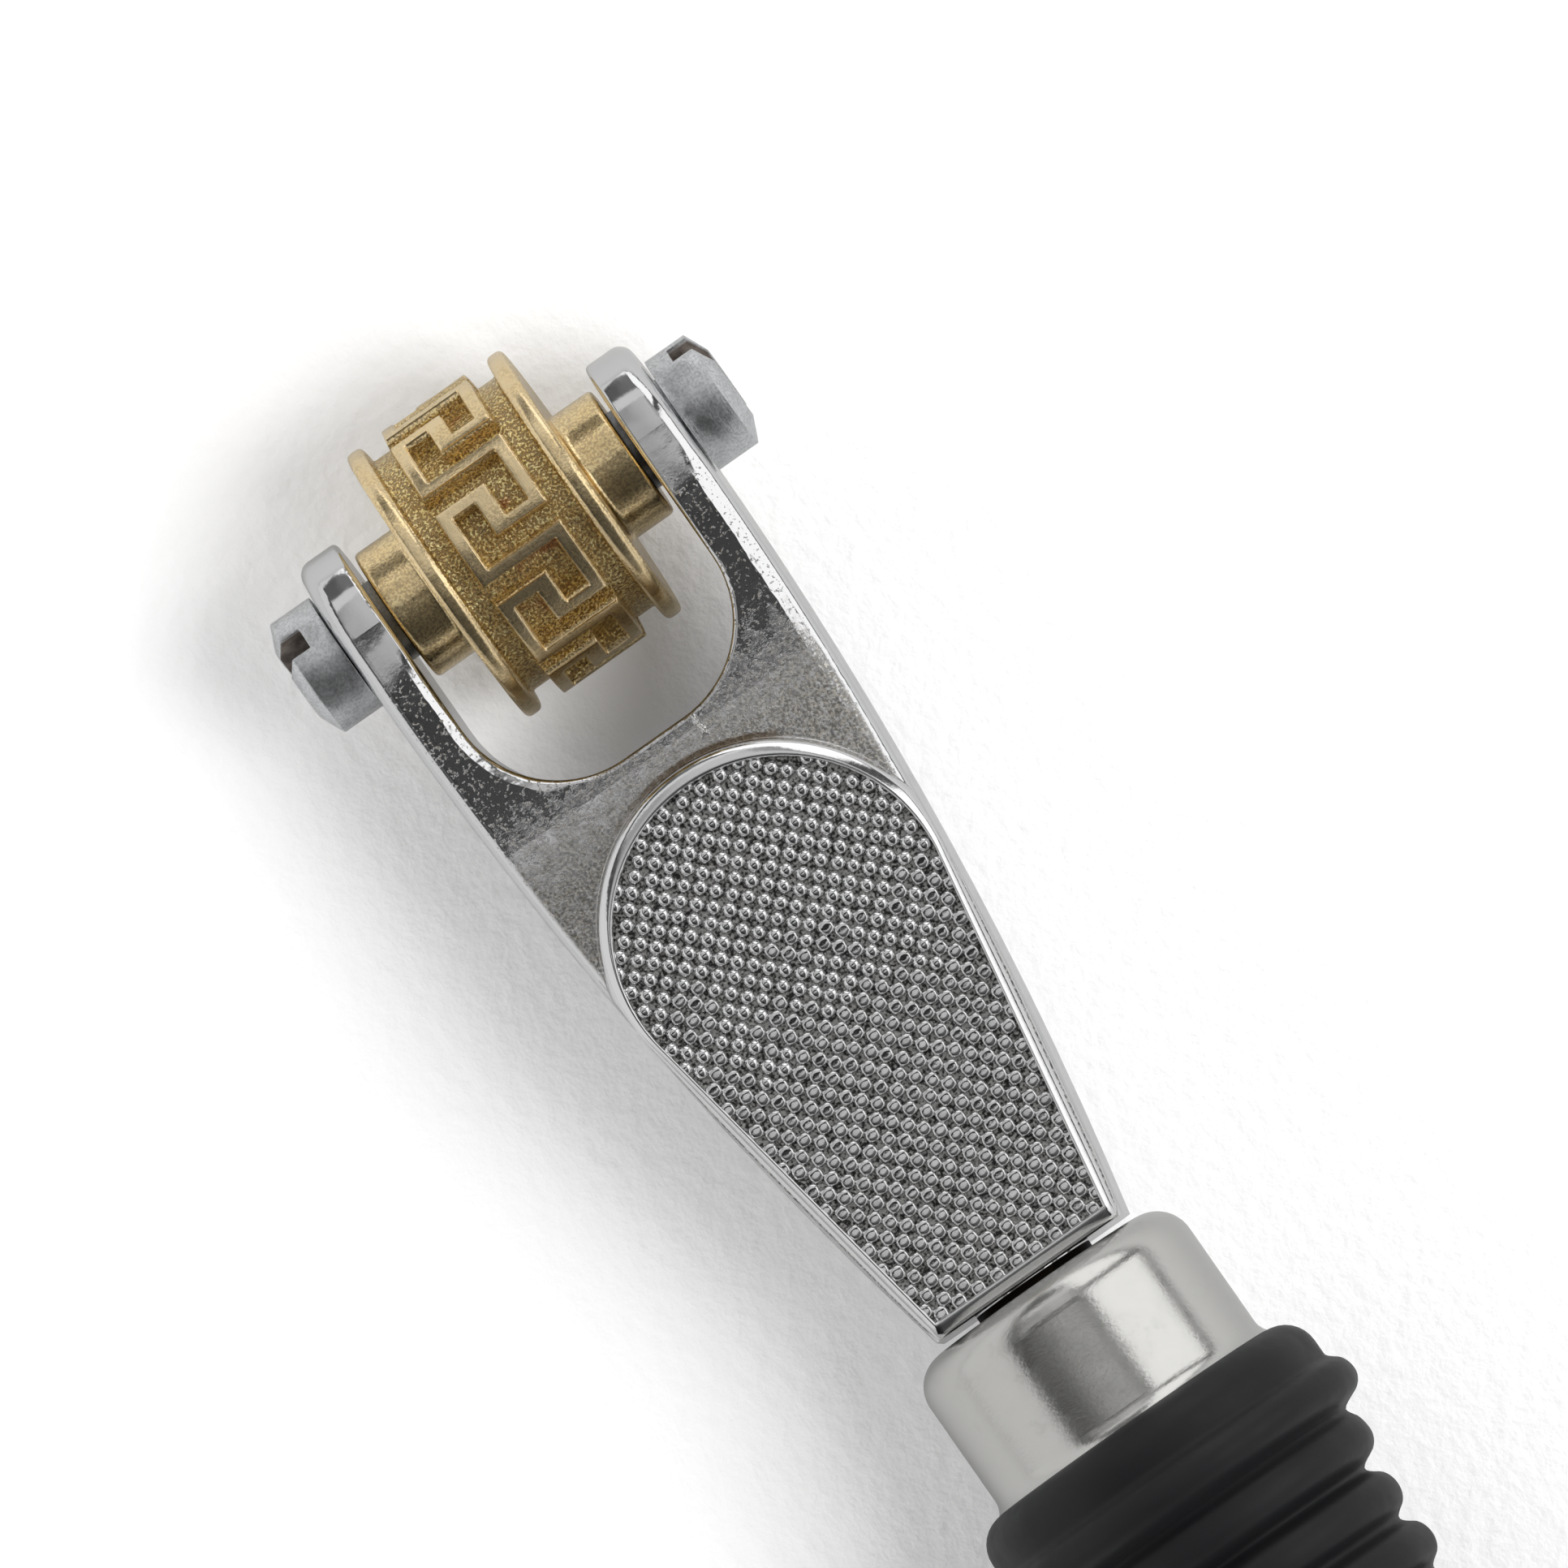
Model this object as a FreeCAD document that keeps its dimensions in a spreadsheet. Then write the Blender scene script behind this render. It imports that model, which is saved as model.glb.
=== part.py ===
"""Hand-held pattern roller: a plated fork with a thumb pad, a brass key-pattern wheel and a ribbed grip.

X runs along the tool from the wheel to the butt, Y along the axle and Z up, in millimetres.
The tool lies on a table at Z = 0, on its wheel and on the widest ribs of its grip.
"""
import FreeCAD, Part
import math
import os
import Sketcher
from FreeCAD import Placement, Rotation, Vector

os.makedirs("parts", exist_ok=True)
doc = FreeCAD.newDocument("pattern_roller")
sheet = doc.addObject("Spreadsheet::Sheet", "dims")


class Size:
    """A number together with the sheet expression that it comes from."""

    def __init__(self, value, text):
        self.value = float(value)
        self.text = text

    def __add__(self, other):
        other = as_size(other)
        return Size(self.value + other.value, f"({self.text} + {other.text})")

    def __sub__(self, other):
        other = as_size(other)
        return Size(self.value - other.value, f"({self.text} - {other.text})")

    def __mul__(self, other):
        other = as_size(other)
        return Size(self.value * other.value, f"({self.text} * {other.text})")

    def __truediv__(self, other):
        other = as_size(other)
        return Size(self.value / other.value, f"({self.text} / {other.text})")

    def __radd__(self, other):
        return as_size(other) + self

    def __rsub__(self, other):
        return as_size(other) - self

    def __rmul__(self, other):
        return as_size(other) * self

    def __rtruediv__(self, other):
        return as_size(other) / self

    def __neg__(self):
        return Size(-self.value, f"(0 - {self.text})")

    def __float__(self):
        return self.value


def as_size(number):
    return number if isinstance(number, Size) else Size(number, repr(float(number)))


def root(size):
    return Size(math.sqrt(size.value), f"sqrt({size.text})")


def dim(name, value):
    """Writes one driving dimension to the sheet and returns it."""
    row = dim.row
    dim.row += 1
    sheet.set(f"A{row}", name)
    sheet.set(f"B{row}", str(value))
    sheet.setAlias(f"B{row}", name)
    return Size(value, f"dims.{name}")


dim.row = 1

# Pattern wheel
wheel_radius = dim("wheel_radius", 13.1)
flange_width = dim("flange_width", 1.7)
flange_spacing = dim("flange_spacing", 14.0)
flange_rounding = dim("flange_rounding", 0.5)
key_relief = dim("key_relief", 1.65)
hub_radius = dim("hub_radius", 6.1)
hub_rounding = dim("hub_rounding", 0.5)
hub_gap = dim("hub_gap", 0.6)
band_width = dim("band_width", 8.6)
key_bar = dim("key_bar", 1.4)
key_pocket = dim("key_pocket", 2.0)
key_count = 9
key_channel_angle = dim("key_channel_angle", 7.2)
key_pocket_angle = dim("key_pocket_angle", 21.6)
key_shift_angle = dim("key_shift_angle", 12.8)
key_start_angle = dim("key_start_angle", -26.6)

# Two-headed axle
barrel_radius = dim("barrel_radius", 3.75)
running_fit = dim("running_fit", 0.05)
head_radius = dim("head_radius", 5.4)
head_length = dim("head_length", 4.85)
head_chamfer_length = dim("head_chamfer_length", 0.95)
head_chamfer_depth = dim("head_chamfer_depth", 2.1)
head_gap = dim("head_gap", 0.15)
slot_width = dim("slot_width", 2.1)
slot_depth = dim("slot_depth", 2.8)
barrel_slot_angle = dim("barrel_slot_angle", -30.0)
screw_slot_angle = dim("screw_slot_angle", -57.5)
shank_radius = dim("shank_radius", 2.45)
shank_length = dim("shank_length", 14.0)
shank_room = dim("shank_room", 1.5)

# Fork casting
fork_gap = dim("fork_gap", 25.0)
arm_width = dim("arm_width", 4.2)
eye_radius = dim("eye_radius", 7.85)
opening_end = dim("opening_end", 20.7)
opening_corner = dim("opening_corner", 9.5)
body_length = dim("body_length", 74.7)
side_crest = dim("side_crest", 5.0)
side_radius = dim("side_radius", 333.0)
deck_start = dim("deck_start", 1.2)
deck_run = dim("deck_run", 12.5)
deck_rise = dim("deck_rise", 1.6)
belly_bend = dim("belly_bend", 54.0)
belly_rise = dim("belly_rise", 1.6)
outer_rounding = dim("outer_rounding", 1.3)
inner_rounding = dim("inner_rounding", 0.45)

# Thumb pad
pad_centre = dim("pad_centre", 39.1)
pad_radius = dim("pad_radius", 14.8)
pad_end_margin = dim("pad_end_margin", 0.4)
pad_height = dim("pad_height", 1.5)
pad_rounding = dim("pad_rounding", 0.6)
rim_width = dim("rim_width", 0.7)
rim_front_width = dim("rim_front_width", 1.2)
rim_end_width = dim("rim_end_width", 1.2)
bead_recess = dim("bead_recess", 0.6)

# Neck and tang
neck_radius = dim("neck_radius", 5.6)
neck_length = dim("neck_length", 0.8)
tang_radius = dim("tang_radius", 4.0)
tang_engagement = dim("tang_engagement", 14.0)
tang_fit = dim("tang_fit", 0.05)

# Ferrule
ferrule_length = dim("ferrule_length", 13.7)
ferrule_radius = dim("ferrule_radius", 12.95)
ferrule_shoulder = dim("ferrule_shoulder", 3.2)
ferrule_front_wall = dim("ferrule_front_wall", 2.6)
ferrule_wall = dim("ferrule_wall", 1.5)
ferrule_flare = dim("ferrule_flare", 0.45)
ferrule_flare_length = dim("ferrule_flare_length", 1.2)

# Handle core with its nut and washer
core_fit = dim("core_fit", 0.05)
nut_pocket_radius = dim("nut_pocket_radius", 8.5)
nut_pocket_depth = dim("nut_pocket_depth", 11.0)
washer_radius = dim("washer_radius", 8.0)
washer_thickness = dim("washer_thickness", 1.6)
nut_width = dim("nut_width", 13.0)
nut_thickness = dim("nut_thickness", 6.5)
tang_overrun = dim("tang_overrun", 1.2)

# Rubber grip
grip_length = dim("grip_length", 103.0)
collar_step = dim("collar_step", 3.15)
collar_length = dim("collar_length", 4.7)
collar_rounding = dim("collar_rounding", 2.8)
first_rib_rise = dim("first_rib_rise", 1.4)
first_rib_width = dim("first_rib_width", 3.9)
second_rib_drop = dim("second_rib_drop", 1.8)
rib_drop = dim("rib_drop", 2.5)
rib_depth = dim("rib_depth", 1.45)
rib_pitch = dim("rib_pitch", 4.93)
rib_width = dim("rib_width", 3.3)
butt_wall = dim("butt_wall", 5.0)
butt_band = dim("butt_band", 4.5)
butt_slope = dim("butt_slope", 2.0)
butt_rounding = dim("butt_rounding", 6.0)


def half_width(along):
    """Half width of the fork casting, whose sides are shallow arcs, widest a little behind the axle."""
    run = along - side_crest
    return arm_outer - side_radius + root(side_radius * side_radius - run * run)


# How far cuts reach past the metal and joined pads reach into it, and how closely edges are matched
overlap = 1.0
match = 0.02

# Places worked out from the driving dimensions, measured from the axle along the tool
ferrule_front = body_length + neck_length
grip_front = ferrule_front + ferrule_length
grip_end = grip_front + grip_length
collar_radius = ferrule_radius + collar_step
first_rib_radius = collar_radius + first_rib_rise
rib_radius = first_rib_radius - rib_drop
middle = (grip_end - wheel_radius) / 2
axle_height = wheel_radius
grip_height = first_rib_radius
grip_rise = grip_height - axle_height
arm_inner = fork_gap / 2
arm_outer = arm_inner + arm_width
seat = arm_outer + head_gap
drum_radius = wheel_radius - key_relief
deck_bend = opening_end + deck_start
deck_end = deck_bend + deck_run
core_front = ferrule_front + ferrule_front_wall
core_radius = ferrule_radius - ferrule_wall
core_end = grip_end - butt_wall
pad_end_half = half_width(body_length) - pad_end_margin
deck_level = eye_radius + deck_rise
pad_level = deck_level + pad_height


def place(body, along, height):
    """Puts a body's own origin at a distance along the tool from the axle and a height over the table."""
    body.Placement = Placement(Vector(float(along - middle), 0, float(height)), Rotation())
    body.setExpression(".Placement.Base.x", (along - middle).text)
    body.setExpression(".Placement.Base.z", as_size(height).text)


def new_body(name, along, height):
    body = doc.addObject("PartDesign::Body", name)
    body.Label = name
    place(body, along, height)
    return body


def origin_feature(body, role):
    return next(item for item in body.Origin.OriginFeatures if item.Role == role)


def new_sketch(body, name, plane):
    sketch = body.newObject("Sketcher::SketchObject", name)
    sketch.AttachmentSupport = [(origin_feature(body, plane), "")]
    sketch.MapMode = "FlatFace"
    return sketch


def bind(sketch, name, size):
    """Ties a named constraint to its expression."""
    sketch.setExpression(f"Constraints.{name}", size.text)


def pin_point(sketch, name, curve, end, x, y):
    """Fixes one end of a curve at a place in the sketch."""
    for axis, kind, size in ((-2, "DistanceX", x), (-1, "DistanceY", y)):
        if isinstance(size, Size):
            index = sketch.addConstraint(Sketcher.Constraint(kind, -1, 1, curve, end, float(size)))
            sketch.renameConstraint(index, f"{name}_{kind}")
            bind(sketch, f"{name}_{kind}", size)
        else:
            sketch.addConstraint(Sketcher.Constraint("PointOnObject", curve, end, axis))


def arc_through(start, end, radius, bulge):
    """The short arc from start to end; a bulge of 1 puts it to the left of the way from start to end."""
    chord = end - start
    middle_point = (start + end) / 2
    side = Vector(-chord.y, chord.x, 0).normalize()
    reach = math.sqrt(max(radius**2 - (chord.Length / 2) ** 2, 0))
    centre = middle_point - side * (bulge * reach)
    first, last = (end, start) if bulge > 0 else (start, end)
    from_angle = math.atan2(first.y - centre.y, first.x - centre.x)
    to_angle = math.atan2(last.y - centre.y, last.x - centre.x)
    if to_angle < from_angle:
        to_angle += 2 * math.pi
    circle = Part.Circle(centre, Vector(0, 0, 1), radius)
    return Part.ArcOfCircle(circle, from_angle, to_angle)


def draw_outline(sketch, corners):
    """Draws a closed outline. Each corner is (x, y) or (x, y, radius, bulge), where the arc runs to the next corner.

    A coordinate that is the bare number 0 lies on the axis; every other one is a Size.
    """
    points = [Vector(float(corner[0]), float(corner[1]), 0) for corner in corners]
    ends = []
    for index, corner in enumerate(corners):
        start = points[index]
        end = points[(index + 1) % len(points)]
        forward = True
        if len(corner) == 4:
            curve = sketch.addGeometry(arc_through(start, end, float(corner[2]), corner[3]))
            forward = corner[3] < 0
            row = sketch.addConstraint(Sketcher.Constraint("Radius", curve, float(corner[2])))
            sketch.renameConstraint(row, f"corner{index}_Radius")
            bind(sketch, f"corner{index}_Radius", corner[2])
        else:
            curve = sketch.addGeometry(Part.LineSegment(start, end))
        ends.append((curve, 1 if forward else 2, 2 if forward else 1))
    for index, corner in enumerate(corners):
        curve, start, _ = ends[index]
        last_curve, _, last_end = ends[index - 1]
        sketch.addConstraint(Sketcher.Constraint("Coincident", last_curve, last_end, curve, start))
        pin_point(sketch, f"corner{index}", curve, start, corner[0], corner[1])


def draw_circle(sketch, name, x, y, radius):
    curve = sketch.addGeometry(Part.Circle(Vector(float(x), float(y), 0), Vector(0, 0, 1), float(radius)))
    pin_point(sketch, name, curve, 3, x, y)
    row = sketch.addConstraint(Sketcher.Constraint("Radius", curve, float(radius)))
    sketch.renameConstraint(row, f"{name}_Radius")
    bind(sketch, f"{name}_Radius", radius)


def feature(body, kind, name, profile, **settings):
    """Adds a PartDesign feature that is made from a sketch."""
    item = body.newObject(f"PartDesign::{kind}", name)
    item.Profile = profile
    for key, setting in settings.items():
        if isinstance(setting, Size):
            setattr(item, key, float(setting))
            item.setExpression(key, setting.text)
        else:
            setattr(item, key, setting)
    profile.Visibility = False
    body.Tip = item
    doc.recompute()
    return item


def revolve(body, name, corners, plane="XY_Plane", axis="H_Axis"):
    """Turns a closed half section about the body's own axis."""
    sketch = new_sketch(body, f"{name}_section", plane)
    draw_outline(sketch, corners)
    doc.recompute()
    return feature(body, "Revolution", name, sketch, ReferenceAxis=(sketch, [axis]), Angle=360.0)


def round_edges(body, name, radius, chosen):
    """Rounds every edge of the body's tip that the test chooses."""
    base = body.Tip
    names = [f"Edge{index + 1}" for index, edge in enumerate(base.Shape.Edges) if chosen(edge)]
    if not names:
        raise RuntimeError(f"{name} found no edge")
    item = body.newObject("PartDesign::Fillet", name)
    item.Base = (base, names)
    item.Radius = float(radius)
    item.setExpression("Radius", radius.text)
    body.Tip = item
    doc.recompute()
    return item


def near(value, size):
    return abs(value - float(size)) < match


def is_ring(edge, radius, along, axis):
    """Whether an edge is a full circle of this radius at this place along an axis of its body."""
    curve = edge.Curve
    return (
        isinstance(curve, Part.Circle)
        and near(curve.Radius, radius)
        and near(getattr(curve.Center, axis), along)
    )


# Pattern wheel: hubs, flanges and drum in one turning, with the key pattern cut into its band
def build_wheel():
    body = new_body("pattern_wheel", as_size(0), axle_height)
    bore = barrel_radius + running_fit
    hub_end = arm_inner - hub_gap
    flange_out = (flange_spacing + flange_width) / 2
    flange_in = (flange_spacing - flange_width) / 2
    band_edge = band_width / 2
    half = [
        (hub_end, hub_radius),
        (flange_out, hub_radius),
        (flange_out, wheel_radius),
        (flange_in, wheel_radius),
        (flange_in, drum_radius),
        (band_edge, drum_radius),
        (band_edge, wheel_radius),
    ]
    other_half = [(-y, radius) for y, radius in reversed(half)]
    corners = [(hub_end, bore)] + half + other_half + [(-hub_end, bore)]
    revolve(body, "turned_blank", corners, plane="YZ_Plane")

    round_edges(body, "flange_edges", flange_rounding, lambda edge: flange_edge(edge, flange_out, flange_in))
    round_edges(body, "hub_edges", hub_rounding, lambda edge: hub_edge(edge, hub_end))

    row_end = band_edge - key_bar
    row_start = row_end - key_pocket
    reach = wheel_radius + overlap
    cuts = {
        "channel_near": (key_start_angle + key_channel_angle / 2, key_channel_angle, -band_edge - overlap, row_end),
        "pocket_far": (key_start_angle + key_pocket_angle / 2, key_pocket_angle, row_start, row_end),
        "pocket_near": (
            key_start_angle + key_shift_angle + key_pocket_angle / 2,
            key_pocket_angle,
            -row_end,
            -row_start,
        ),
        "channel_far": (
            key_start_angle + key_shift_angle + key_pocket_angle - key_channel_angle / 2,
            key_channel_angle,
            -row_end,
            band_edge + overlap,
        ),
    }
    grooves = []
    for name, (centre_angle, width_angle, low, high) in cuts.items():
        sketch = new_sketch(body, f"{name}_section", "YZ_Plane")
        sketch.AttachmentOffset = Placement(Vector(), Rotation(Vector(1, 0, 0), float(centre_angle)))
        sketch.setExpression(".AttachmentOffset.Rotation.Angle", centre_angle.text)
        draw_outline(sketch, [(low, drum_radius), (high, drum_radius), (high, reach), (low, reach)])
        doc.recompute()
        groove = feature(
            body, "Groove", name, sketch,
            ReferenceAxis=(origin_feature(body, "Y_Axis"), [""]), Midplane=True, Angle=width_angle,
        )
        grooves.append(groove)
    pattern = body.newObject("PartDesign::PolarPattern", "key_pattern")
    pattern.Originals = grooves
    pattern.Axis = (origin_feature(body, "Y_Axis"), [""])
    pattern.Angle = 360.0
    pattern.Occurrences = key_count
    body.Tip = pattern
    doc.recompute()


def flange_edge(edge, flange_out, flange_in):
    return any(
        is_ring(edge, wheel_radius, side * place_y, "y")
        for side in (1, -1)
        for place_y in (flange_out, flange_in)
    )


def hub_edge(edge, hub_end):
    return any(is_ring(edge, hub_radius, side * hub_end, "y") for side in (1, -1))


# Two-headed axle: a bored barrel and the screw that closes it, each with a slotted head
def head_corners(bore):
    """Half section of a head that sits at the seat plane and points away from the fork."""
    end = seat + head_length
    return [
        (end, head_radius - head_chamfer_depth),
        (end - head_chamfer_length, head_radius),
        (seat, head_radius),
        (seat, bore),
    ]


def cut_slot(body, side, angle):
    """Cuts the driver slot across the head on one side of the fork."""
    sketch = new_sketch(body, "slot_outline", "YZ_Plane")
    sketch.AttachmentOffset = Placement(Vector(), Rotation(Vector(1, 0, 0), float(angle)))
    sketch.setExpression(".AttachmentOffset.Rotation.Angle", angle.text)
    floor = side * (seat + head_length - slot_depth)
    top = side * (seat + head_length + overlap)
    reach = head_radius + overlap
    draw_outline(sketch, [(floor, -reach), (top, -reach), (top, reach), (floor, reach)])
    doc.recompute()
    feature(body, "Pocket", "driver_slot", sketch, Type="Length", Midplane=True, Length=slot_width)


def build_barrel():
    body = new_body("axle_barrel", as_size(0), axle_height)
    bore = shank_radius + running_fit
    bore_floor = seat - shank_length - shank_room
    corners = [(-y, radius) for y, radius in head_corners(barrel_radius)]
    corners = [(-(seat + head_length), 0)] + corners
    corners += [(seat, barrel_radius), (seat, bore), (bore_floor, bore), (bore_floor, 0)]
    revolve(body, "turned_barrel", corners, plane="YZ_Plane")
    cut_slot(body, -1, barrel_slot_angle)


def build_screw():
    body = new_body("axle_screw", as_size(0), axle_height)
    shank_end = seat - shank_length
    corners = [(shank_end, 0), (seat + head_length, 0)] + head_corners(shank_radius) + [(shank_end, shank_radius)]
    revolve(body, "turned_screw", corners, plane="YZ_Plane")
    cut_slot(body, 1, screw_slot_angle)


# Fork casting: side shape, trimmed to the plan, with the wheel opening, eyes, neck, tang hole and thumb pad
def side_disc(name, side):
    """A broad upright disc whose rim gives one shallow curved side of the casting."""
    disc = doc.addObject("Part::Cylinder", name)
    height = (deck_level + overlap) * 2
    centre = side * (arm_outer - side_radius)
    disc.setExpression("Radius", side_radius.text)
    disc.setExpression("Height", height.text)
    disc.Placement = Placement(Vector(float(side_crest), float(centre), -float(height) / 2), Rotation())
    disc.setExpression(".Placement.Base.x", side_crest.text)
    disc.setExpression(".Placement.Base.y", centre.text)
    disc.setExpression(".Placement.Base.z", (-height / 2).text)
    return disc


def build_fork_blank():
    """What the casting's side shape and the two discs of its plan have in common."""
    side = doc.addObject("Sketcher::SketchObject", "side_shape")
    side.Placement = Placement(Vector(), Rotation(Vector(1, 0, 0), 90))
    draw_outline(side, [
        (0, eye_radius),
        (deck_bend, eye_radius),
        (deck_end, deck_level),
        (body_length, deck_level),
        (body_length, -(eye_radius - belly_rise)),
        (belly_bend, -eye_radius),
        (0, -eye_radius, eye_radius, 1),
        (-eye_radius, 0, eye_radius, 1),
    ])
    draw_circle(side, "axle_hole", 0, 0, barrel_radius + running_fit)
    width = (arm_outer + overlap) * 2
    prism = doc.addObject("Part::Extrusion", "side_prism")
    prism.Base = side
    prism.DirMode = "Normal"
    prism.FaceMakerClass = "Part::FaceMakerBullseye"
    prism.Solid = True
    prism.Symmetric = True
    prism.LengthFwd = float(width)
    prism.setExpression("LengthFwd", width.text)
    blank = doc.addObject("Part::MultiCommon", "fork_blank")
    blank.Shapes = [prism, side_disc("right_side", 1), side_disc("left_side", -1)]
    doc.recompute()
    return blank


def build_fork():
    body = new_body("fork_casting", as_size(0), axle_height)
    body.BaseFeature = build_fork_blank()
    doc.recompute()
    near_end = -(eye_radius + overlap)

    opening = new_sketch(body, "opening_shape", "XY_Plane")
    corner_start = opening_end - opening_corner
    corner_half = arm_inner - opening_corner
    draw_outline(opening, [
        (near_end, arm_inner), (near_end, -arm_inner),
        (corner_start, -arm_inner, opening_corner, -1), (opening_end, -corner_half),
        (opening_end, corner_half, opening_corner, -1), (corner_start, arm_inner),
    ])
    doc.recompute()
    feature(body, "Pocket", "wheel_opening", opening, Type="ThroughAll", Midplane=True)
    round_edges(body, "outer_edges", outer_rounding, outer_side_edge)
    round_edges(body, "inner_edges", inner_rounding, opening_edge)

    pad = new_sketch(body, "pad_outline", "XY_Plane")
    draw_pad(pad, pad_centre, pad_radius, pad_end_half, body_length)
    lift(pad, pad_level)
    doc.recompute()
    pad_depth = pad_level - eye_radius + overlap
    feature(body, "Pad", "thumb_pad", pad, Type="Length", Reversed=True, Length=pad_depth)
    round_edges(body, "pad_edges", pad_rounding, pad_top_edge)

    recess = new_sketch(body, "recess_outline", "XY_Plane")
    recess_centre = pad_centre + rim_front_width - rim_width
    draw_pad(recess, recess_centre, pad_radius - rim_width, pad_end_half - rim_width, body_length - rim_end_width)
    lift(recess, pad_level)
    doc.recompute()
    feature(body, "Pocket", "bead_bed", recess, Type="Length", Length=bead_recess)

    neck = new_sketch(body, "neck_circle", "YZ_Plane")
    draw_circle(neck, "neck", 0, grip_rise, neck_radius)
    neck.AttachmentOffset = Placement(Vector(0, 0, float(ferrule_front)), Rotation())
    neck.setExpression(".AttachmentOffset.Base.z", ferrule_front.text)
    doc.recompute()
    feature(body, "Pad", "neck", neck, Type="Length", Reversed=True, Length=neck_length + overlap)

    tang = new_sketch(body, "tang_circle", "YZ_Plane")
    draw_circle(tang, "tang", 0, grip_rise, tang_radius + tang_fit)
    tang.AttachmentOffset = Placement(Vector(0, 0, float(ferrule_front)), Rotation())
    tang.setExpression(".AttachmentOffset.Base.z", ferrule_front.text)
    doc.recompute()
    feature(body, "Pocket", "tang_hole", tang, Type="Length", Length=tang_engagement + neck_length)


def lift(sketch, height):
    """Raises a plan sketch to a height over the axle."""
    sketch.AttachmentOffset = Placement(Vector(0, 0, float(height)), Rotation())
    sketch.setExpression(".AttachmentOffset.Base.z", height.text)


def draw_pad(sketch, centre, radius, end_half, end):
    """The pad's outline: a round front, and two straight sides that taper to a half width at the body's end."""
    run = body_length - centre
    reach_squared = run * run + end_half * end_half
    tangent_length = root(reach_squared - radius * radius)
    # The tangent point, from the centre: turn the line to the far end by the angle that the tangent subtends.
    touch_x = radius * (radius * run - tangent_length * end_half) / reach_squared
    touch_y = radius * (radius * end_half + tangent_length * run) / reach_squared
    slope = (touch_y - end_half) / (run - touch_x)
    cut_half = end_half + (body_length - end) * slope
    draw_outline(sketch, [
        (centre + touch_x, -touch_y, radius, 1),
        (centre - radius, 0, radius, 1),
        (centre + touch_x, touch_y),
        (end, cut_half),
        (end, -cut_half),
    ])


def outer_side_edge(edge):
    """The long outer edges of the casting, round its eyes and down both sides."""
    box = edge.BoundBox
    if is_upright(edge) or box.XLength < match:
        return False
    return all(near(abs(vertex.Point.y), half_width(as_size(vertex.Point.x))) for vertex in edge.Vertexes)


def opening_edge(edge):
    """The edges of the wheel opening on the top and the underside, and round the inner faces of the eyes."""
    inside = all(abs(vertex.Point.y) < float(arm_inner) + match for vertex in edge.Vertexes)
    behind = any(vertex.Point.x > float(opening_end) + match for vertex in edge.Vertexes)
    return inside and not behind and not is_upright(edge)


def is_upright(edge):
    return edge.BoundBox.XLength < match and edge.BoundBox.YLength < match


def pad_top_edge(edge):
    """The outer edge of the pad's top."""
    level = all(near(vertex.Point.z, pad_level) for vertex in edge.Vertexes)
    return level and edge.BoundBox.ZLength < match


# Ferrule: a nickel cap with a flared mouth, drawn over the front of the core
def build_ferrule():
    body = new_body("ferrule", ferrule_front, grip_height)
    hole = tang_radius + tang_fit
    bore = core_radius + core_fit
    flare_start = ferrule_length - ferrule_flare_length
    mouth = ferrule_radius + ferrule_flare
    flare_radius = (ferrule_flare_length * ferrule_flare_length + ferrule_flare * ferrule_flare) / (2 * ferrule_flare)
    revolve(body, "drawn_cap", [
        (0, hole),
        (0, ferrule_radius - ferrule_shoulder, ferrule_shoulder, 1),
        (ferrule_shoulder, ferrule_radius),
        (flare_start, ferrule_radius, flare_radius, -1),
        (ferrule_length, mouth),
        (ferrule_length, bore),
        (ferrule_front_wall, bore),
        (ferrule_front_wall, hole),
    ])


# Handle core: a stiff rod in the ferrule and the grip, pulled against the fork by the tang nut
def build_core():
    body = new_body("handle_core", core_front, grip_height)
    length = core_end - core_front
    hole = tang_radius + tang_fit
    pocket_floor = length - nut_pocket_depth
    revolve(body, "core_rod", [
        (0, hole),
        (0, core_radius),
        (length, core_radius),
        (length, nut_pocket_radius),
        (pocket_floor, nut_pocket_radius),
        (pocket_floor, hole),
    ])


def build_tang():
    body = new_body("tang_rod", ferrule_front - tang_engagement, grip_height)
    nut_seat = core_end - nut_pocket_depth + washer_thickness
    length = nut_seat + nut_thickness + tang_overrun - ferrule_front + tang_engagement
    revolve(body, "rod", [(0, 0), (length, 0), (length, tang_radius), (0, tang_radius)])


def build_washer():
    body = new_body("tang_washer", core_end - nut_pocket_depth, grip_height)
    hole = tang_radius + tang_fit
    revolve(body, "disc", [
        (0, hole), (washer_thickness, hole), (washer_thickness, washer_radius), (0, washer_radius),
    ])


def build_nut():
    """A hexagon nut, square to the tang."""
    prism = doc.addObject("Part::Prism", "nut_prism")
    prism.Polygon = 6
    prism.Circumradius = float(nut_width) / math.sqrt(3)
    prism.Height = float(nut_thickness)
    prism.setExpression("Circumradius", (nut_width / root(as_size(3))).text)
    prism.setExpression("Height", nut_thickness.text)
    hole = doc.addObject("Part::Cylinder", "nut_hole")
    hole.setExpression("Radius", (tang_radius + tang_fit).text)
    hole.setExpression("Height", nut_thickness.text)
    nut = doc.addObject("Part::Cut", "tang_nut")
    nut.Base = prism
    nut.Tool = hole
    along = core_end - nut_pocket_depth + washer_thickness
    nut.Placement = Placement(Vector(), Rotation(Vector(0, 1, 0), 90))
    nut.Placement.Base = Vector(float(along - middle), 0, float(grip_height))
    nut.setExpression(".Placement.Base.x", (along - middle).text)
    nut.setExpression(".Placement.Base.z", grip_height.text)


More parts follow.
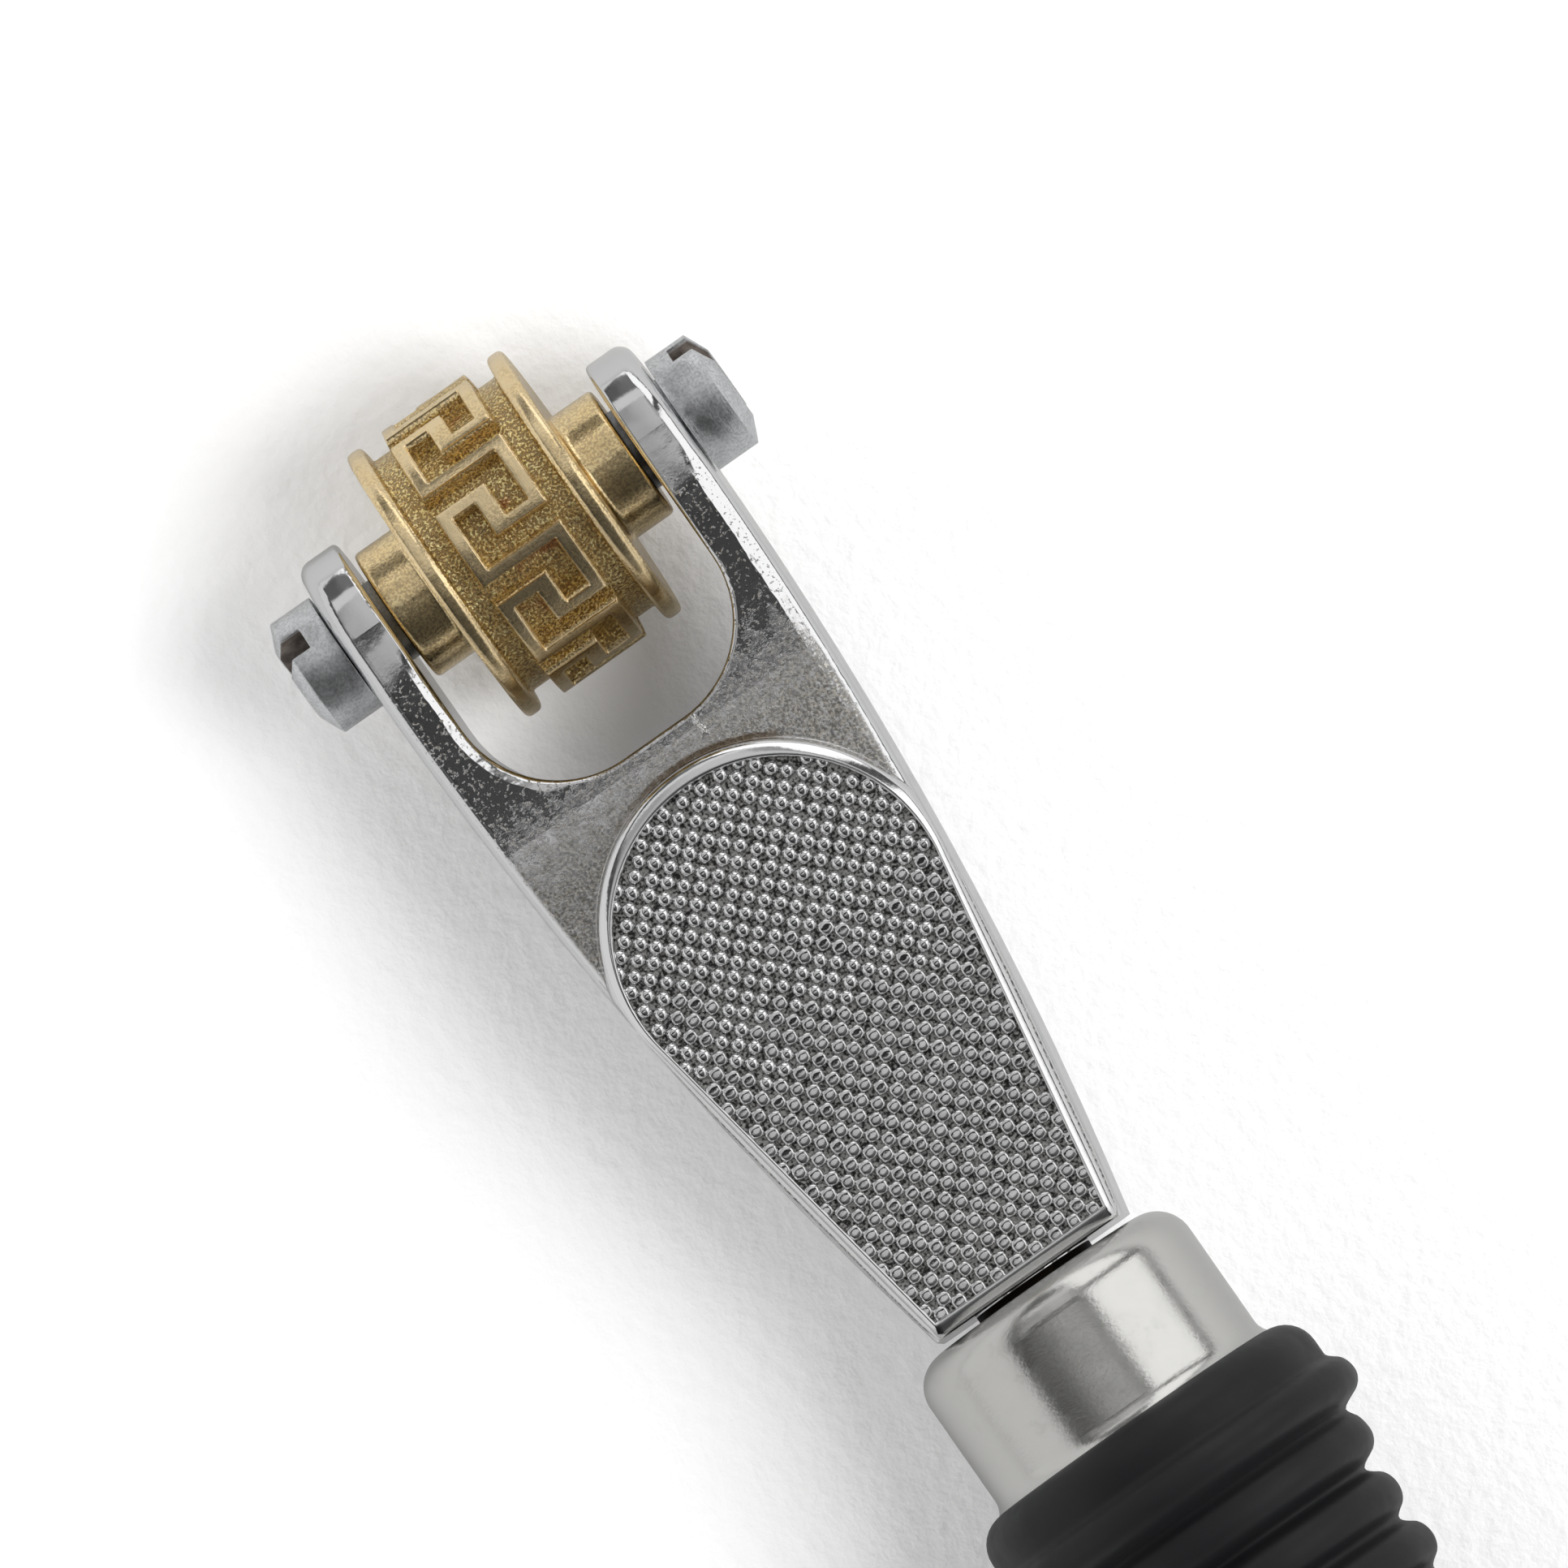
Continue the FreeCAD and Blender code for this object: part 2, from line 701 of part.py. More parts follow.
# Rubber grip: a closed sleeve with a smooth collar, rounded ribs and a broad butt
def build_grip():
    body = new_body("rubber_grip", grip_front, grip_height)
    bore = core_radius + core_fit
    bore_end = core_end - grip_front
    valley = rib_radius - rib_depth
    second = first_rib_radius - second_rib_drop
    corners = [(0, bore), (0, collar_radius - collar_rounding, collar_rounding, 1), (collar_rounding, collar_radius)]
    foot = collar_length
    corners += rib(foot, first_rib_width, collar_radius, first_rib_radius, second - rib_depth / 2)
    foot = foot + rib_pitch
    corners += rib(foot, rib_width, second - rib_depth / 2, second, valley)
    butt_foot = grip_length - butt_rounding - butt_band - butt_slope
    while float(foot + rib_pitch * 2) < float(butt_foot):
        foot = foot + rib_pitch
        corners += rib(foot, rib_width, valley, rib_radius, valley)
    corners += [
        (butt_foot, valley),
        (butt_foot + butt_slope, first_rib_radius),
        (grip_length - butt_rounding, first_rib_radius, butt_rounding, 1),
        (grip_length, first_rib_radius - butt_rounding),
        (grip_length, 0),
        (bore_end, 0),
        (bore_end, bore),
    ]
    revolve(body, "moulded_sleeve", corners)


def rib(foot, width, before, crown, after):
    """One rounded rib: up from the level before it to its crown, and down to the level after it."""
    half = width / 2
    crest = foot + half
    return [
        (foot, before, rib_arc(half, crown - before), 1),
        (crest, crown, rib_arc(half, crown - after), 1),
        (foot + width, after),
    ]


def rib_arc(half, rise):
    """Radius of the arc that leaves a crown level and has fallen by rise after half a rib."""
    return (half * half + rise * rise) / (2 * rise)


build_wheel()
build_barrel()
build_screw()
build_fork()
build_ferrule()
build_core()
build_tang()
build_washer()
build_nut()
build_grip()
doc.recompute()

NODES = [
    "fork_casting", "pattern_wheel", "axle_barrel", "axle_screw", "ferrule",
    "rubber_grip", "handle_core", "tang_rod", "tang_washer", "tang_nut",
]


def check_document():
    """Stops if any object of the document failed, or if a sub-part is not one sound solid."""
    for item in doc.Objects:
        if "Invalid" in item.State or "Error" in item.State:
            raise RuntimeError(f"{item.Name} failed: {item.State}")
    for name in NODES:
        shape = doc.getObject(name).Shape
        if shape.isNull() or not shape.isValid() or len(shape.Solids) != 1:
            raise RuntimeError(f"{name} is not one valid solid")


check_document()
for node in NODES:
    doc.getObject(node).Shape.exportStep(f"parts/{node}.step")
    box = doc.getObject(node).Shape.BoundBox
    print(f"{node}: x {box.XMin:.2f} {box.XMax:.2f} y {box.YMin:.2f} {box.YMax:.2f} z {box.ZMin:.2f} {box.ZMax:.2f}")
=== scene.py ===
"""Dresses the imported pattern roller: its finishes, and the relief that is finer than the solid model."""
import math

import bmesh
import bpy
from mathutils import Matrix, Vector


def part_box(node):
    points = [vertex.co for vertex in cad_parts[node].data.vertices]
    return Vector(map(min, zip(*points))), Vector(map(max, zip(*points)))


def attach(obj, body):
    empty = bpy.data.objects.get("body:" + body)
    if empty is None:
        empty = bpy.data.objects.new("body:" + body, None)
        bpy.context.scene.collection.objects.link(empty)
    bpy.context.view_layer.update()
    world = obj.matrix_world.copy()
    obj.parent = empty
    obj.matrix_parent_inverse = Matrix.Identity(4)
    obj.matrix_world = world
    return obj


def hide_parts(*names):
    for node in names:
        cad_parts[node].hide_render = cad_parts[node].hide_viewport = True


bl_info = {
    "name": "Pattern roller",
    "version": (1, 0, 0),
    "blender": (4, 5, 0),
    "location": "View3D > Sidebar > Roller",
    "description": "Builds the visible detail of a hand-held pattern roller and the stage that it lies on",
    "category": "Object",
}

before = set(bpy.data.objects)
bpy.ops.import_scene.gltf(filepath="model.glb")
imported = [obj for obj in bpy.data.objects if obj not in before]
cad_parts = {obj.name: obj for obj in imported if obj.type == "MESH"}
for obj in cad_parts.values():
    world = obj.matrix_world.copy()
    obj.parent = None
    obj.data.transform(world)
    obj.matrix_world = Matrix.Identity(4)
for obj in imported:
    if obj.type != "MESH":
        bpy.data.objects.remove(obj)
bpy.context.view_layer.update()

MM = 0.001
wheel_low, wheel_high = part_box("pattern_wheel")
fork_low, fork_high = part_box("fork_casting")
grip_low, grip_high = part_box("rubber_grip")

# The axle's line and the handle's line, and places along the tool that are measured from the axle
WHEEL_RADIUS = (wheel_high.z - wheel_low.z) / 2
AXLE_X = (wheel_low.x + wheel_high.x) / 2
AXLE_Z = (wheel_low.z + wheel_high.z) / 2
HANDLE_Z = (grip_low.z + grip_high.z) / 2
ARM_OUTER = fork_high.y
EYE_RADIUS = AXLE_X - fork_low.x
BODY_END = 74.7 * MM
ARM_INNER = 12.5 * MM
OPENING_END = 20.7 * MM
OPENING_CORNER = 9.5 * MM
DECK_BEND = 21.9 * MM
DECK_END = 34.4 * MM
DECK_RISE = 1.6 * MM
PAD_TOP = EYE_RADIUS + DECK_RISE + 1.5 * MM
BEAD_BED = PAD_TOP - 0.6 * MM
PAD_CENTRE = 39.1 * MM
PAD_RADIUS = 14.8 * MM
PAD_END_HALF = 8.92 * MM
RIM_WIDTH = 0.7 * MM
RIM_END_WIDTH = 1.2 * MM
SIDE_CREST = 5.0 * MM
SIDE_RADIUS = 333.0 * MM
SIDE_ROUNDING = 1.3 * MM
HEAD_RADIUS = 5.4 * MM
HEAD_END = 21.7 * MM
HEAD_CHAMFER = 2.1 * MM
HEAD_CHAMFER_DEPTH = 0.95 * MM


class RollerSizes(bpy.types.PropertyGroup):
    """Sizes of the relief that is finer than the solid model."""
    wheel_relief: bpy.props.FloatProperty(
        name="Key relief", description="Height of the key pattern over the drum",
        default=1.65 * MM, unit="LENGTH")
    wheel_edge: bpy.props.FloatProperty(
        name="Key edge", description="Width of the sloping walls and worn edges of the key pattern",
        default=0.24 * MM, unit="LENGTH")
    bead_width: bpy.props.FloatProperty(
        name="Bead width", description="Width of one bead of the thumb pad",
        default=1.29 * MM, unit="LENGTH")
    bead_height: bpy.props.FloatProperty(
        name="Bead height", description="Height of a bead over the bed of the pad",
        default=0.72 * MM, unit="LENGTH")
    bead_pitch: bpy.props.FloatProperty(
        name="Bead pitch", description="Distance between beads along one row",
        default=1.9 * MM, unit="LENGTH")
    rim_crest: bpy.props.FloatProperty(
        name="Rim crest", description="Height of the rim's polished crest over the flat of the pad",
        default=0.3 * MM, unit="LENGTH")
    edge_break: bpy.props.FloatProperty(
        name="Edge break", description="Rounding of the turned edges of the axle heads",
        default=0.12 * MM, unit="LENGTH")


class RollerColours(bpy.types.PropertyGroup):
    """Colours of the finishes."""
    chrome: bpy.props.FloatVectorProperty(
        name="Chrome", description="Colour of the plating on the fork",
        default=(0.74, 0.74, 0.745), subtype="COLOR")
    brass: bpy.props.FloatVectorProperty(
        name="Brass", description="Colour of the worn brass",
        default=(0.95, 0.76, 0.46), subtype="COLOR")
    brass_deep: bpy.props.FloatVectorProperty(
        name="Deep brass", description="Colour of the brass in the recesses",
        default=(0.92, 0.65, 0.29), subtype="COLOR")
    steel: bpy.props.FloatVectorProperty(
        name="Steel", description="Colour of the turned steel",
        default=(0.70, 0.71, 0.72), subtype="COLOR")
    nickel: bpy.props.FloatVectorProperty(
        name="Nickel", description="Colour of the satin nickel plate",
        default=(0.62, 0.615, 0.595), subtype="COLOR")
    rubber: bpy.props.FloatVectorProperty(
        name="Rubber", description="Colour of the moulded grip",
        default=(0.008, 0.008, 0.009), subtype="COLOR")
    tarnish: bpy.props.FloatVectorProperty(
        name="Tarnish", description="Colour of the residue in corners",
        default=(0.16, 0.11, 0.06), subtype="COLOR")


class RollerStage(bpy.types.PropertyGroup):
    """The paper and the camera."""
    paper: bpy.props.FloatVectorProperty(
        name="Paper", description="Colour of the paper that the tool lies on",
        default=(0.93, 0.93, 0.93), subtype="COLOR")
    camera_distance: bpy.props.FloatProperty(
        name="Camera distance", description="From the middle of the picture to the camera",
        default=3.0, unit="LENGTH")
    picture_width: bpy.props.FloatProperty(
        name="Picture width", description="Width of the table that the picture shows",
        default=128.8 * MM, unit="LENGTH")
    picture_x: bpy.props.FloatProperty(
        name="Picture centre along the tool", description="From the axle, along the tool",
        default=29.6 * MM, unit="LENGTH")
    picture_y: bpy.props.FloatProperty(
        name="Picture centre along the axle", description="From the tool's middle line",
        default=6.4 * MM, unit="LENGTH")
    turn: bpy.props.FloatProperty(
        name="Turn", description="Angle of the tool in the picture, down from the right",
        default=math.radians(55.0), subtype="ANGLE")
    lean_x: bpy.props.FloatProperty(
        name="Lean to the grip", description="How far the camera leans towards the grip",
        default=math.radians(2.5), subtype="ANGLE")
    lean_y: bpy.props.FloatProperty(
        name="Lean to the screw", description="How far the camera leans towards the screw head",
        default=math.radians(1.8), subtype="ANGLE")


class Tree:
    """Builds the nodes of a tree. A value is a plain one, or the output socket that it comes from."""

    def __init__(self, tree):
        self.tree = tree

    def feed(self, socket, value):
        if isinstance(value, bpy.types.NodeSocket):
            self.tree.links.new(value, socket)
        else:
            socket.default_value = value

    def add(self, kind, inputs=None, **settings):
        node = self.tree.nodes.new(kind)
        for key, value in settings.items():
            setattr(node, key, value)
        for key, value in (inputs or {}).items():
            self.feed(node.inputs[key], value)
        return node

    def math(self, operation, *values):
        node = self.add("ShaderNodeMath", operation=operation)
        for socket, value in zip(node.inputs, values):
            self.feed(socket, value)
        return node.outputs[0]

    def chain(self, operation, values):
        """One operation over a row of values, from the first to the last."""
        result = values[0]
        for value in values[1:]:
            result = self.math(operation, result, value)
        return result

    def plus(self, *values):
        return self.chain("ADD", values)

    def times(self, *values):
        return self.chain("MULTIPLY", values)

    def most(self, *values):
        return self.chain("MAXIMUM", values)

    def least(self, *values):
        return self.chain("MINIMUM", values)

    def minus(self, first, second):
        return self.math("SUBTRACT", first, second)

    def size(self, value):
        """A number without its sign."""
        return self.math("ABSOLUTE", value)

    def below(self, value, limit):
        """1 where the value is below the limit, and 0 elsewhere."""
        return self.math("LESS_THAN", value, limit)

    def above(self, value, limit):
        """1 where the value is above the limit, and 0 elsewhere."""
        return self.math("GREATER_THAN", value, limit)

    def reach(self, first, second):
        """How far a point lies from the middle, by its two coordinates."""
        return self.math("SQRT", self.plus(self.times(first, first), self.times(second, second)))

    def ramp(self, value, low, high, to_low=0.0, to_high=1.0, smooth=True):
        """Runs from to_low to to_high as the value goes from low to high."""
        node = self.add("ShaderNodeMapRange", {
            "Value": value, "From Min": low, "From Max": high, "To Min": to_low, "To Max": to_high,
        })
        node.interpolation_type = "SMOOTHSTEP" if smooth else "LINEAR"
        return node.outputs["Result"]

    def mix(self, factor, first, second):
        node = self.add("ShaderNodeMix", data_type="RGBA")
        self.feed(node.inputs["Factor"], factor)
        for key, value in (("A", first), ("B", second)):
            socket = next(item for item in node.inputs if item.name == key and item.type == "RGBA")
            self.feed(socket, value if isinstance(value, bpy.types.NodeSocket) else (*value, 1.0))
        return next(item for item in node.outputs if item.type == "RGBA")

    def scale(self, vector, share):
        """A vector made longer or shorter, or a colour made lighter or darker, by a share."""
        node = self.add("ShaderNodeVectorMath", {0: vector}, operation="SCALE")
        self.feed(node.inputs["Scale"], share)
        return node.outputs[0]

    def blend(self, factor, first, second):
        """A number between two others."""
        node = self.add("ShaderNodeMix", data_type="FLOAT")
        for key, value in (("Factor", factor), ("A", first), ("B", second)):
            self.feed(node.inputs[key], value)
        return node.outputs["Result"]

    def split(self, vector):
        node = self.add("ShaderNodeSeparateXYZ", {"Vector": vector})
        return node.outputs["X"], node.outputs["Y"], node.outputs["Z"]

    def vector(self, x, y, z):
        return self.add("ShaderNodeCombineXYZ", {"X": x, "Y": y, "Z": z}).outputs[0]

    def random(self, low, high, seed):
        """A random vector for each point."""
        return self.add("FunctionNodeRandomValue", {0: low, 1: high, "Seed": seed},
                        data_type="FLOAT_VECTOR").outputs[0]

    def end_geometry(self, geometry, material, result):
        """Ends a geometry tree: its instances become real and get their material."""
        real = self.add("GeometryNodeRealizeInstances", {"Geometry": geometry})
        covered = self.add("GeometryNodeSetMaterial", {"Geometry": real.outputs[0], "Material": material})
        self.feed(result["Geometry"], covered.outputs[0])

    def noise(self, vector, scale, detail=2.0, roughness=0.5, seed=0.0):
        """Noise at a scale in features per metre."""
        node = self.add("ShaderNodeTexNoise", {
            "Vector": vector, "W": seed, "Scale": scale, "Detail": detail, "Roughness": roughness,
        }, noise_dimensions="4D")
        return node.outputs["Fac"]


def new_group(name, kind, inputs, outputs):
    """A node group with inputs, given as (name, kind, default), and outputs, given as (name, kind)."""
    tree = bpy.data.node_groups.new(name, kind)
    for label, socket, default in inputs:
        item = tree.interface.new_socket(label, in_out="INPUT", socket_type="NodeSocket" + socket)
        if default is not None:
            item.default_value = default
    for label, socket in outputs:
        tree.interface.new_socket(label, in_out="OUTPUT", socket_type="NodeSocket" + socket)
    build = Tree(tree)
    return build, build.add("NodeGroupInput").outputs, build.add("NodeGroupOutput").inputs


# Shader groups, for the effects that the finishes are made of
def cast_grain_group():
    """Rough skin of a casting: an even height for bump, and the sharper height of its separate grains."""
    build, source, result = new_group("Cast grain", "ShaderNodeTree", [
        ("Vector", "Vector", None),
        ("Grain", "Float", 3200.0),
        ("Threshold", "Float", 0.6),
        ("Seed", "Float", 0.0),
    ], [("Height", "Float"), ("Grit", "Float"), ("Fine", "Float")])
    fine = build.noise(source["Vector"], source["Grain"], 2.0, 0.5, source["Seed"])
    broad = build.noise(source["Vector"], build.times(source["Grain"], 0.32), 2.0, 0.5, source["Seed"])
    build.feed(result["Height"], build.plus(fine, build.times(broad, 0.8)))
    build.feed(result["Grit"], build.ramp(fine, source["Threshold"], build.plus(source["Threshold"], 0.10)))
    build.feed(result["Fine"], fine)
    return build.tree


def worn_group():
    """Handling wear: a mask that is strong over a height and broken up by noise."""
    build, source, result = new_group("Handling wear", "ShaderNodeTree", [
        ("Vector", "Vector", None),
        ("Level", "Float", 0.5),
        ("Patch", "Float", 400.0),
        ("Seed", "Float", 0.0),
    ], [("Mask", "Float")])
    patch = build.noise(source["Vector"], source["Patch"], 4.0, 0.6, source["Seed"])
    broken = build.ramp(patch, 0.35, 0.65, 0.55, 1.0)
    build.feed(result["Mask"], build.times(source["Level"], broken))
    return build.tree


def dust_group():
    """Sparse specks of dust."""
    build, source, result = new_group("Dust specks", "ShaderNodeTree", [
        ("Vector", "Vector", None),
        ("Spacing", "Float", 500.0),
        ("Seed", "Float", 0.0),
    ], [("Mask", "Float")])
    cells = build.add("ShaderNodeTexVoronoi", {
        "Vector": source["Vector"], "W": source["Seed"], "Scale": source["Spacing"],
    }, voronoi_dimensions="4D")
    near = build.ramp(cells.outputs["Distance"], 0.09, 0.05)
    chosen = build.ramp(build.split(cells.outputs["Color"])[0], 0.80, 0.82)
    build.feed(result["Mask"], build.times(near, chosen))
    return build.tree


class Finish:
    """A material under construction, with its surface shader and the piece's own coordinates."""

    def __init__(self, name, **constants):
        self.material = bpy.data.materials.new(name)
        self.material.use_nodes = True
        self.build = Tree(self.material.node_tree)
        self.shader = self.material.node_tree.nodes["Principled BSDF"]
        for key, value in constants.items():
            self.shader.inputs[key.replace("_", " ")].default_value = value
        self.place = self.build.add("ShaderNodeTexCoord").outputs["Object"]
        # The same place, measured from the axle
        shift = self.build.add("ShaderNodeMapping", {
            "Vector": self.place, "Location": (-AXLE_X, 0.0, -AXLE_Z),
        })
        self.from_axle = shift.outputs[0]

    def group(self, tree, **inputs):
        node = self.build.add("ShaderNodeGroup", node_tree=tree)
        self.build.feed(node.inputs["Vector"], self.place)
        for key, value in inputs.items():
            self.build.feed(node.inputs[key], value)
        return node.outputs

    def noise(self, scale, detail, roughness, seed):
        return self.build.noise(self.place, scale, detail, roughness, seed)

    def waver(self, reach, scale, detail, roughness, seed):
        """A number that wanders evenly between -reach and reach."""
        noise = self.noise(scale, detail, roughness, seed)
        return self.build.ramp(noise, 0.3, 0.7, -reach, reach, smooth=False)

    def bump(self, height, strength, distance):
        node = self.build.add("ShaderNodeBump", {
            "Height": height, "Strength": strength, "Distance": distance,
        })
        self.build.feed(self.shader.inputs["Normal"], node.outputs["Normal"])

    def set(self, **inputs):
        for key, value in inputs.items():
            self.build.feed(self.shader.inputs[key.replace("_", " ")], value)


# Colours of small areas within the finishes
DULL_PLATE = (0.66, 0.62, 0.55)
# Partly painted shade: the plate of the bead bed, darker than the chrome
BED_PLATE_AND_SHADE = (0.50, 0.495, 0.48)
PAD_PLATE = (0.81, 0.81, 0.81)
# Painted highlight on the raised seam
SEAM_HIGHLIGHT = (0.92, 0.91, 0.88)
# Painted shade in the gap between the casting and the ferrule
JOINT_SHADE = (0.012, 0.009, 0.007)
RED_BRASS = (0.42, 0.13, 0.05)
SLOT_GRIME = (0.07, 0.055, 0.045)
SLOT_DUST = (0.20, 0.17, 0.15)
RUBBER_DUST = (0.42, 0.40, 0.38)


def chrome_finish(groups, colours):
    """Bright plate over a casting: polished where it is rounded, and rough on top as it left the mould."""
    finish = Finish("chrome_plate", Metallic=1.0)
    build = finish.build
    x, y, z = build.split(finish.from_axle)
    deck = build.ramp(x, DECK_BEND, DECK_END, EYE_RADIUS, EYE_RADIUS + DECK_RISE, smooth=False)
    over_deck = build.minus(z, deck)
    on_deck = build.ramp(over_deck, -0.22 * MM, -0.03 * MM)
    off_pad = build.ramp(over_deck, 0.03 * MM, 0.10 * MM, 1.0, 0.0)
    patch = finish.waver(3.0 * MM, 900.0, 3.0, 0.6, 7.0)
    behind_eyes = build.ramp(build.plus(x, build.times(patch, 0.6)), 3.5 * MM, 6.5 * MM)
    rough = build.times(on_deck, off_pad, behind_eyes)
    lag = build.ramp(y, 15.0 * MM, -15.0 * MM, 0.0, 2.5 * MM, smooth=False)
    dull_from = build.minus(build.plus(x, patch), lag)
    dull = build.times(rough, build.ramp(dull_from, 16.5 * MM, 25.5 * MM))
    bed = bead_bed_mask(finish, x, y, z)
    grain = finish.group(groups["grain"], Grain=3700.0, Seed=1.0,
                         Threshold=build.ramp(dull, 0.0, 1.0, 0.60, 0.46))
    skin = finish.noise(2600.0, 3.0, 0.65, 4.0)
    broad = finish.noise(160.0, 2.0, 0.5, 2.0)
    scuffs = finish.noise(1500.0, 3.0, 0.6, 3.0)
    nick = seam_nick(finish, x, y)
    height = build.plus(
        build.times(grain["Grit"], rough, build.ramp(dull, 0.0, 1.0, 2.1, 1.0)),
        build.times(skin, build.most(dull, bed), 1.7),
        build.times(broad, build.ramp(x, 2.0 * MM, 8.0 * MM, 2.2, 0.4)),
        build.times(scuffs, build.minus(0.14, build.times(rough, 0.12))),
        build.times(nick, rough, 3.4),
        eye_crown(finish, x, y),
        edge_roll(finish, x, y),
    )
    finish.bump(height, 0.9, 0.07 * MM)
    roughness = build.ramp(scuffs, 0.3, 0.8, 0.06, 0.14)
    roughness = build.blend(build.times(on_deck, off_pad), roughness, 0.13)
    roughness = build.blend(build.most(dull, bed), roughness, 0.34)
    roughness = build.blend(nick, roughness, 0.14)
    speckle = build.ramp(grain["Fine"], 0.35, 0.62, 0.46, 1.04)
    dull_plate = build.mix(build.ramp(skin, 0.35, 0.65), DULL_PLATE, colours.chrome)
    patchy = build.ramp(patch, -3.0 * MM, 3.0 * MM, 0.84, 1.04)
    # Painted shade: the dull cast skin is darkened towards the barrel's side, away from the softbox
    painted_side_shade = build.ramp(y, -15.0 * MM, 6.0 * MM, 0.82, 1.0)
    dull_plate = build.scale(dull_plate, build.times(speckle, patchy, painted_side_shade))
    # Painted shade over the bed's own grain: the sunk bed and the feet of the beads are darker, where the
    # beads shade them
    bed_plate_and_shade = build.scale(BED_PLATE_AND_SHADE, build.ramp(grain["Fine"], 0.40, 0.60, 0.12, 1.3))
    plate = build.mix(off_pad, PAD_PLATE, colours.chrome)
    colour = build.mix(dull, plate, dull_plate)
    # Painted highlight: the raised seam is lightened nearly to white, over its real bump and smoother plate
    colour = build.mix(build.times(nick, 0.7), colour, SEAM_HIGHLIGHT)
    colour = build.mix(tarnish_mask(finish, x, y, z), colour, colours.tarnish)
    colour = build.mix(bed, colour, bed_plate_and_shade)
    # Painted shade: the neck in the gap between the casting and the ferrule is painted nearly black, and
    # made rough
    slot_grime_and_joint_shade = build.ramp(x, BODY_END + 0.02 * MM, BODY_END + 0.1 * MM)
    colour = build.mix(slot_grime_and_joint_shade, colour, JOINT_SHADE)
    finish.set(Base_Color=colour, Roughness=build.blend(slot_grime_and_joint_shade, roughness, 0.6))
    return finish.material


def eye_crown(finish, x, y):
    """Polishing has crowned the arms over the eyes, and they dip a little towards the front."""
    build = finish.build
    waver = finish.waver(0.7 * MM, 150.0, 1.0, 0.5, 10.0)
    across = build.plus(build.minus(build.size(y), 14.5 * MM), waver)
    crown = build.times(across, across, -0.35 / (MM * MM), build.ramp(x, 6.0 * MM, 2.0 * MM))
    return build.plus(crown, build.ramp(build.plus(x, waver), 6.5 * MM, -1.0 * MM, 0.0, -4.5))


def edge_roll(finish, x, y):
    """Polishing has rolled off the edges on the screw's side of one arm and of the wheel opening."""
    build = finish.build
    waver = finish.waver(0.07 * MM, 700.0, 2.0, 0.5, 11.0)
    run = build.minus(x, SIDE_CREST)
    side = build.minus(ARM_OUTER - SIDE_ROUNDING, build.times(run, run, 0.5 / SIDE_RADIUS))
    off_side = build.plus(build.minus(y, side), waver)
    outer = build.ramp(off_side, -0.35 * MM, 0.5 * MM, 0.0, -4.6, smooth=False)
    outer = build.times(outer, build.ramp(x, 32.0 * MM, 24.0 * MM))
    over_x = build.minus(x, OPENING_END - OPENING_CORNER)
    over_y = build.minus(build.times(y, -1.0), ARM_INNER - OPENING_CORNER)
    corner = build.reach(build.most(over_x, 0.0), build.most(over_y, 0.0))
    off_opening = build.plus(build.minus(corner, OPENING_CORNER), waver)
    inner = build.ramp(off_opening, 0.95 * MM, 0.1 * MM, 0.0, -4.6, smooth=False)
    inner = build.times(inner, build.below(y, 0.0), build.ramp(x, 20.5 * MM, 17.0 * MM))
    return build.times(build.plus(outer, inner), build.ramp(x, 2.0 * MM, 6.0 * MM))


def seam_nick(finish, x, y):
    """The short raised seam across the deck, between the wheel opening and the pad."""
    build = finish.build
    waver = finish.waver(0.18 * MM, 1400.0, 2.0, 0.5, 9.0)
    across = build.size(build.plus(build.minus(y, 3.75 * MM), waver))
    ends = build.times(build.ramp(x, 20.9 * MM, 21.4 * MM), build.ramp(x, 23.2 * MM, 22.6 * MM))
    return build.times(build.ramp(across, 0.34 * MM, 0.08 * MM), ends)


def bead_bed_mask(finish, x, y, z):
    """The sunk bed that the beads stand on, and the feet of the beads."""
    build = finish.build
    low = build.ramp(build.minus(z, BEAD_BED), 0.03 * MM, 0.16 * MM, 1.0, 0.0)
    high = build.ramp(build.minus(z, BEAD_BED), -0.30 * MM, -0.25 * MM)
    run = build.minus(x, PAD_CENTRE + 0.5 * MM)
    reach = build.reach(run, y)
    front = build.ramp(reach, PAD_RADIUS - 0.6 * MM, PAD_RADIUS - 0.7 * MM)
    behind = build.times(build.above(run, 0.0), build.below(x, BODY_END - 1.1 * MM))
    return build.times(low, high, build.most(front, behind))


def tarnish_mask(finish, x, y, z):
    """Brown residue along the foot of the pad's front."""
    build = finish.build
    run = build.minus(x, PAD_CENTRE)
    reach = build.reach(run, y)
    off_foot = build.size(build.minus(reach, PAD_RADIUS + 0.5 * MM))
    foot = build.ramp(off_foot, 0.50 * MM, 0.22 * MM)
    front = build.ramp(x, 28.5 * MM, 25.0 * MM)
    low = build.ramp(z, PAD_TOP - 0.9 * MM, PAD_TOP - 1.3 * MM)
    side = build.times(build.ramp(y, -9.0 * MM, 0.0, 0.15, 1.0), build.ramp(y, 9.5 * MM, 8.0 * MM))
    patch = build.ramp(finish.noise(900.0, 3.0, 0.6, 5.0), 0.3, 0.5, 0.45, 1.0)
    return build.times(foot, front, low, side, patch, 0.85)


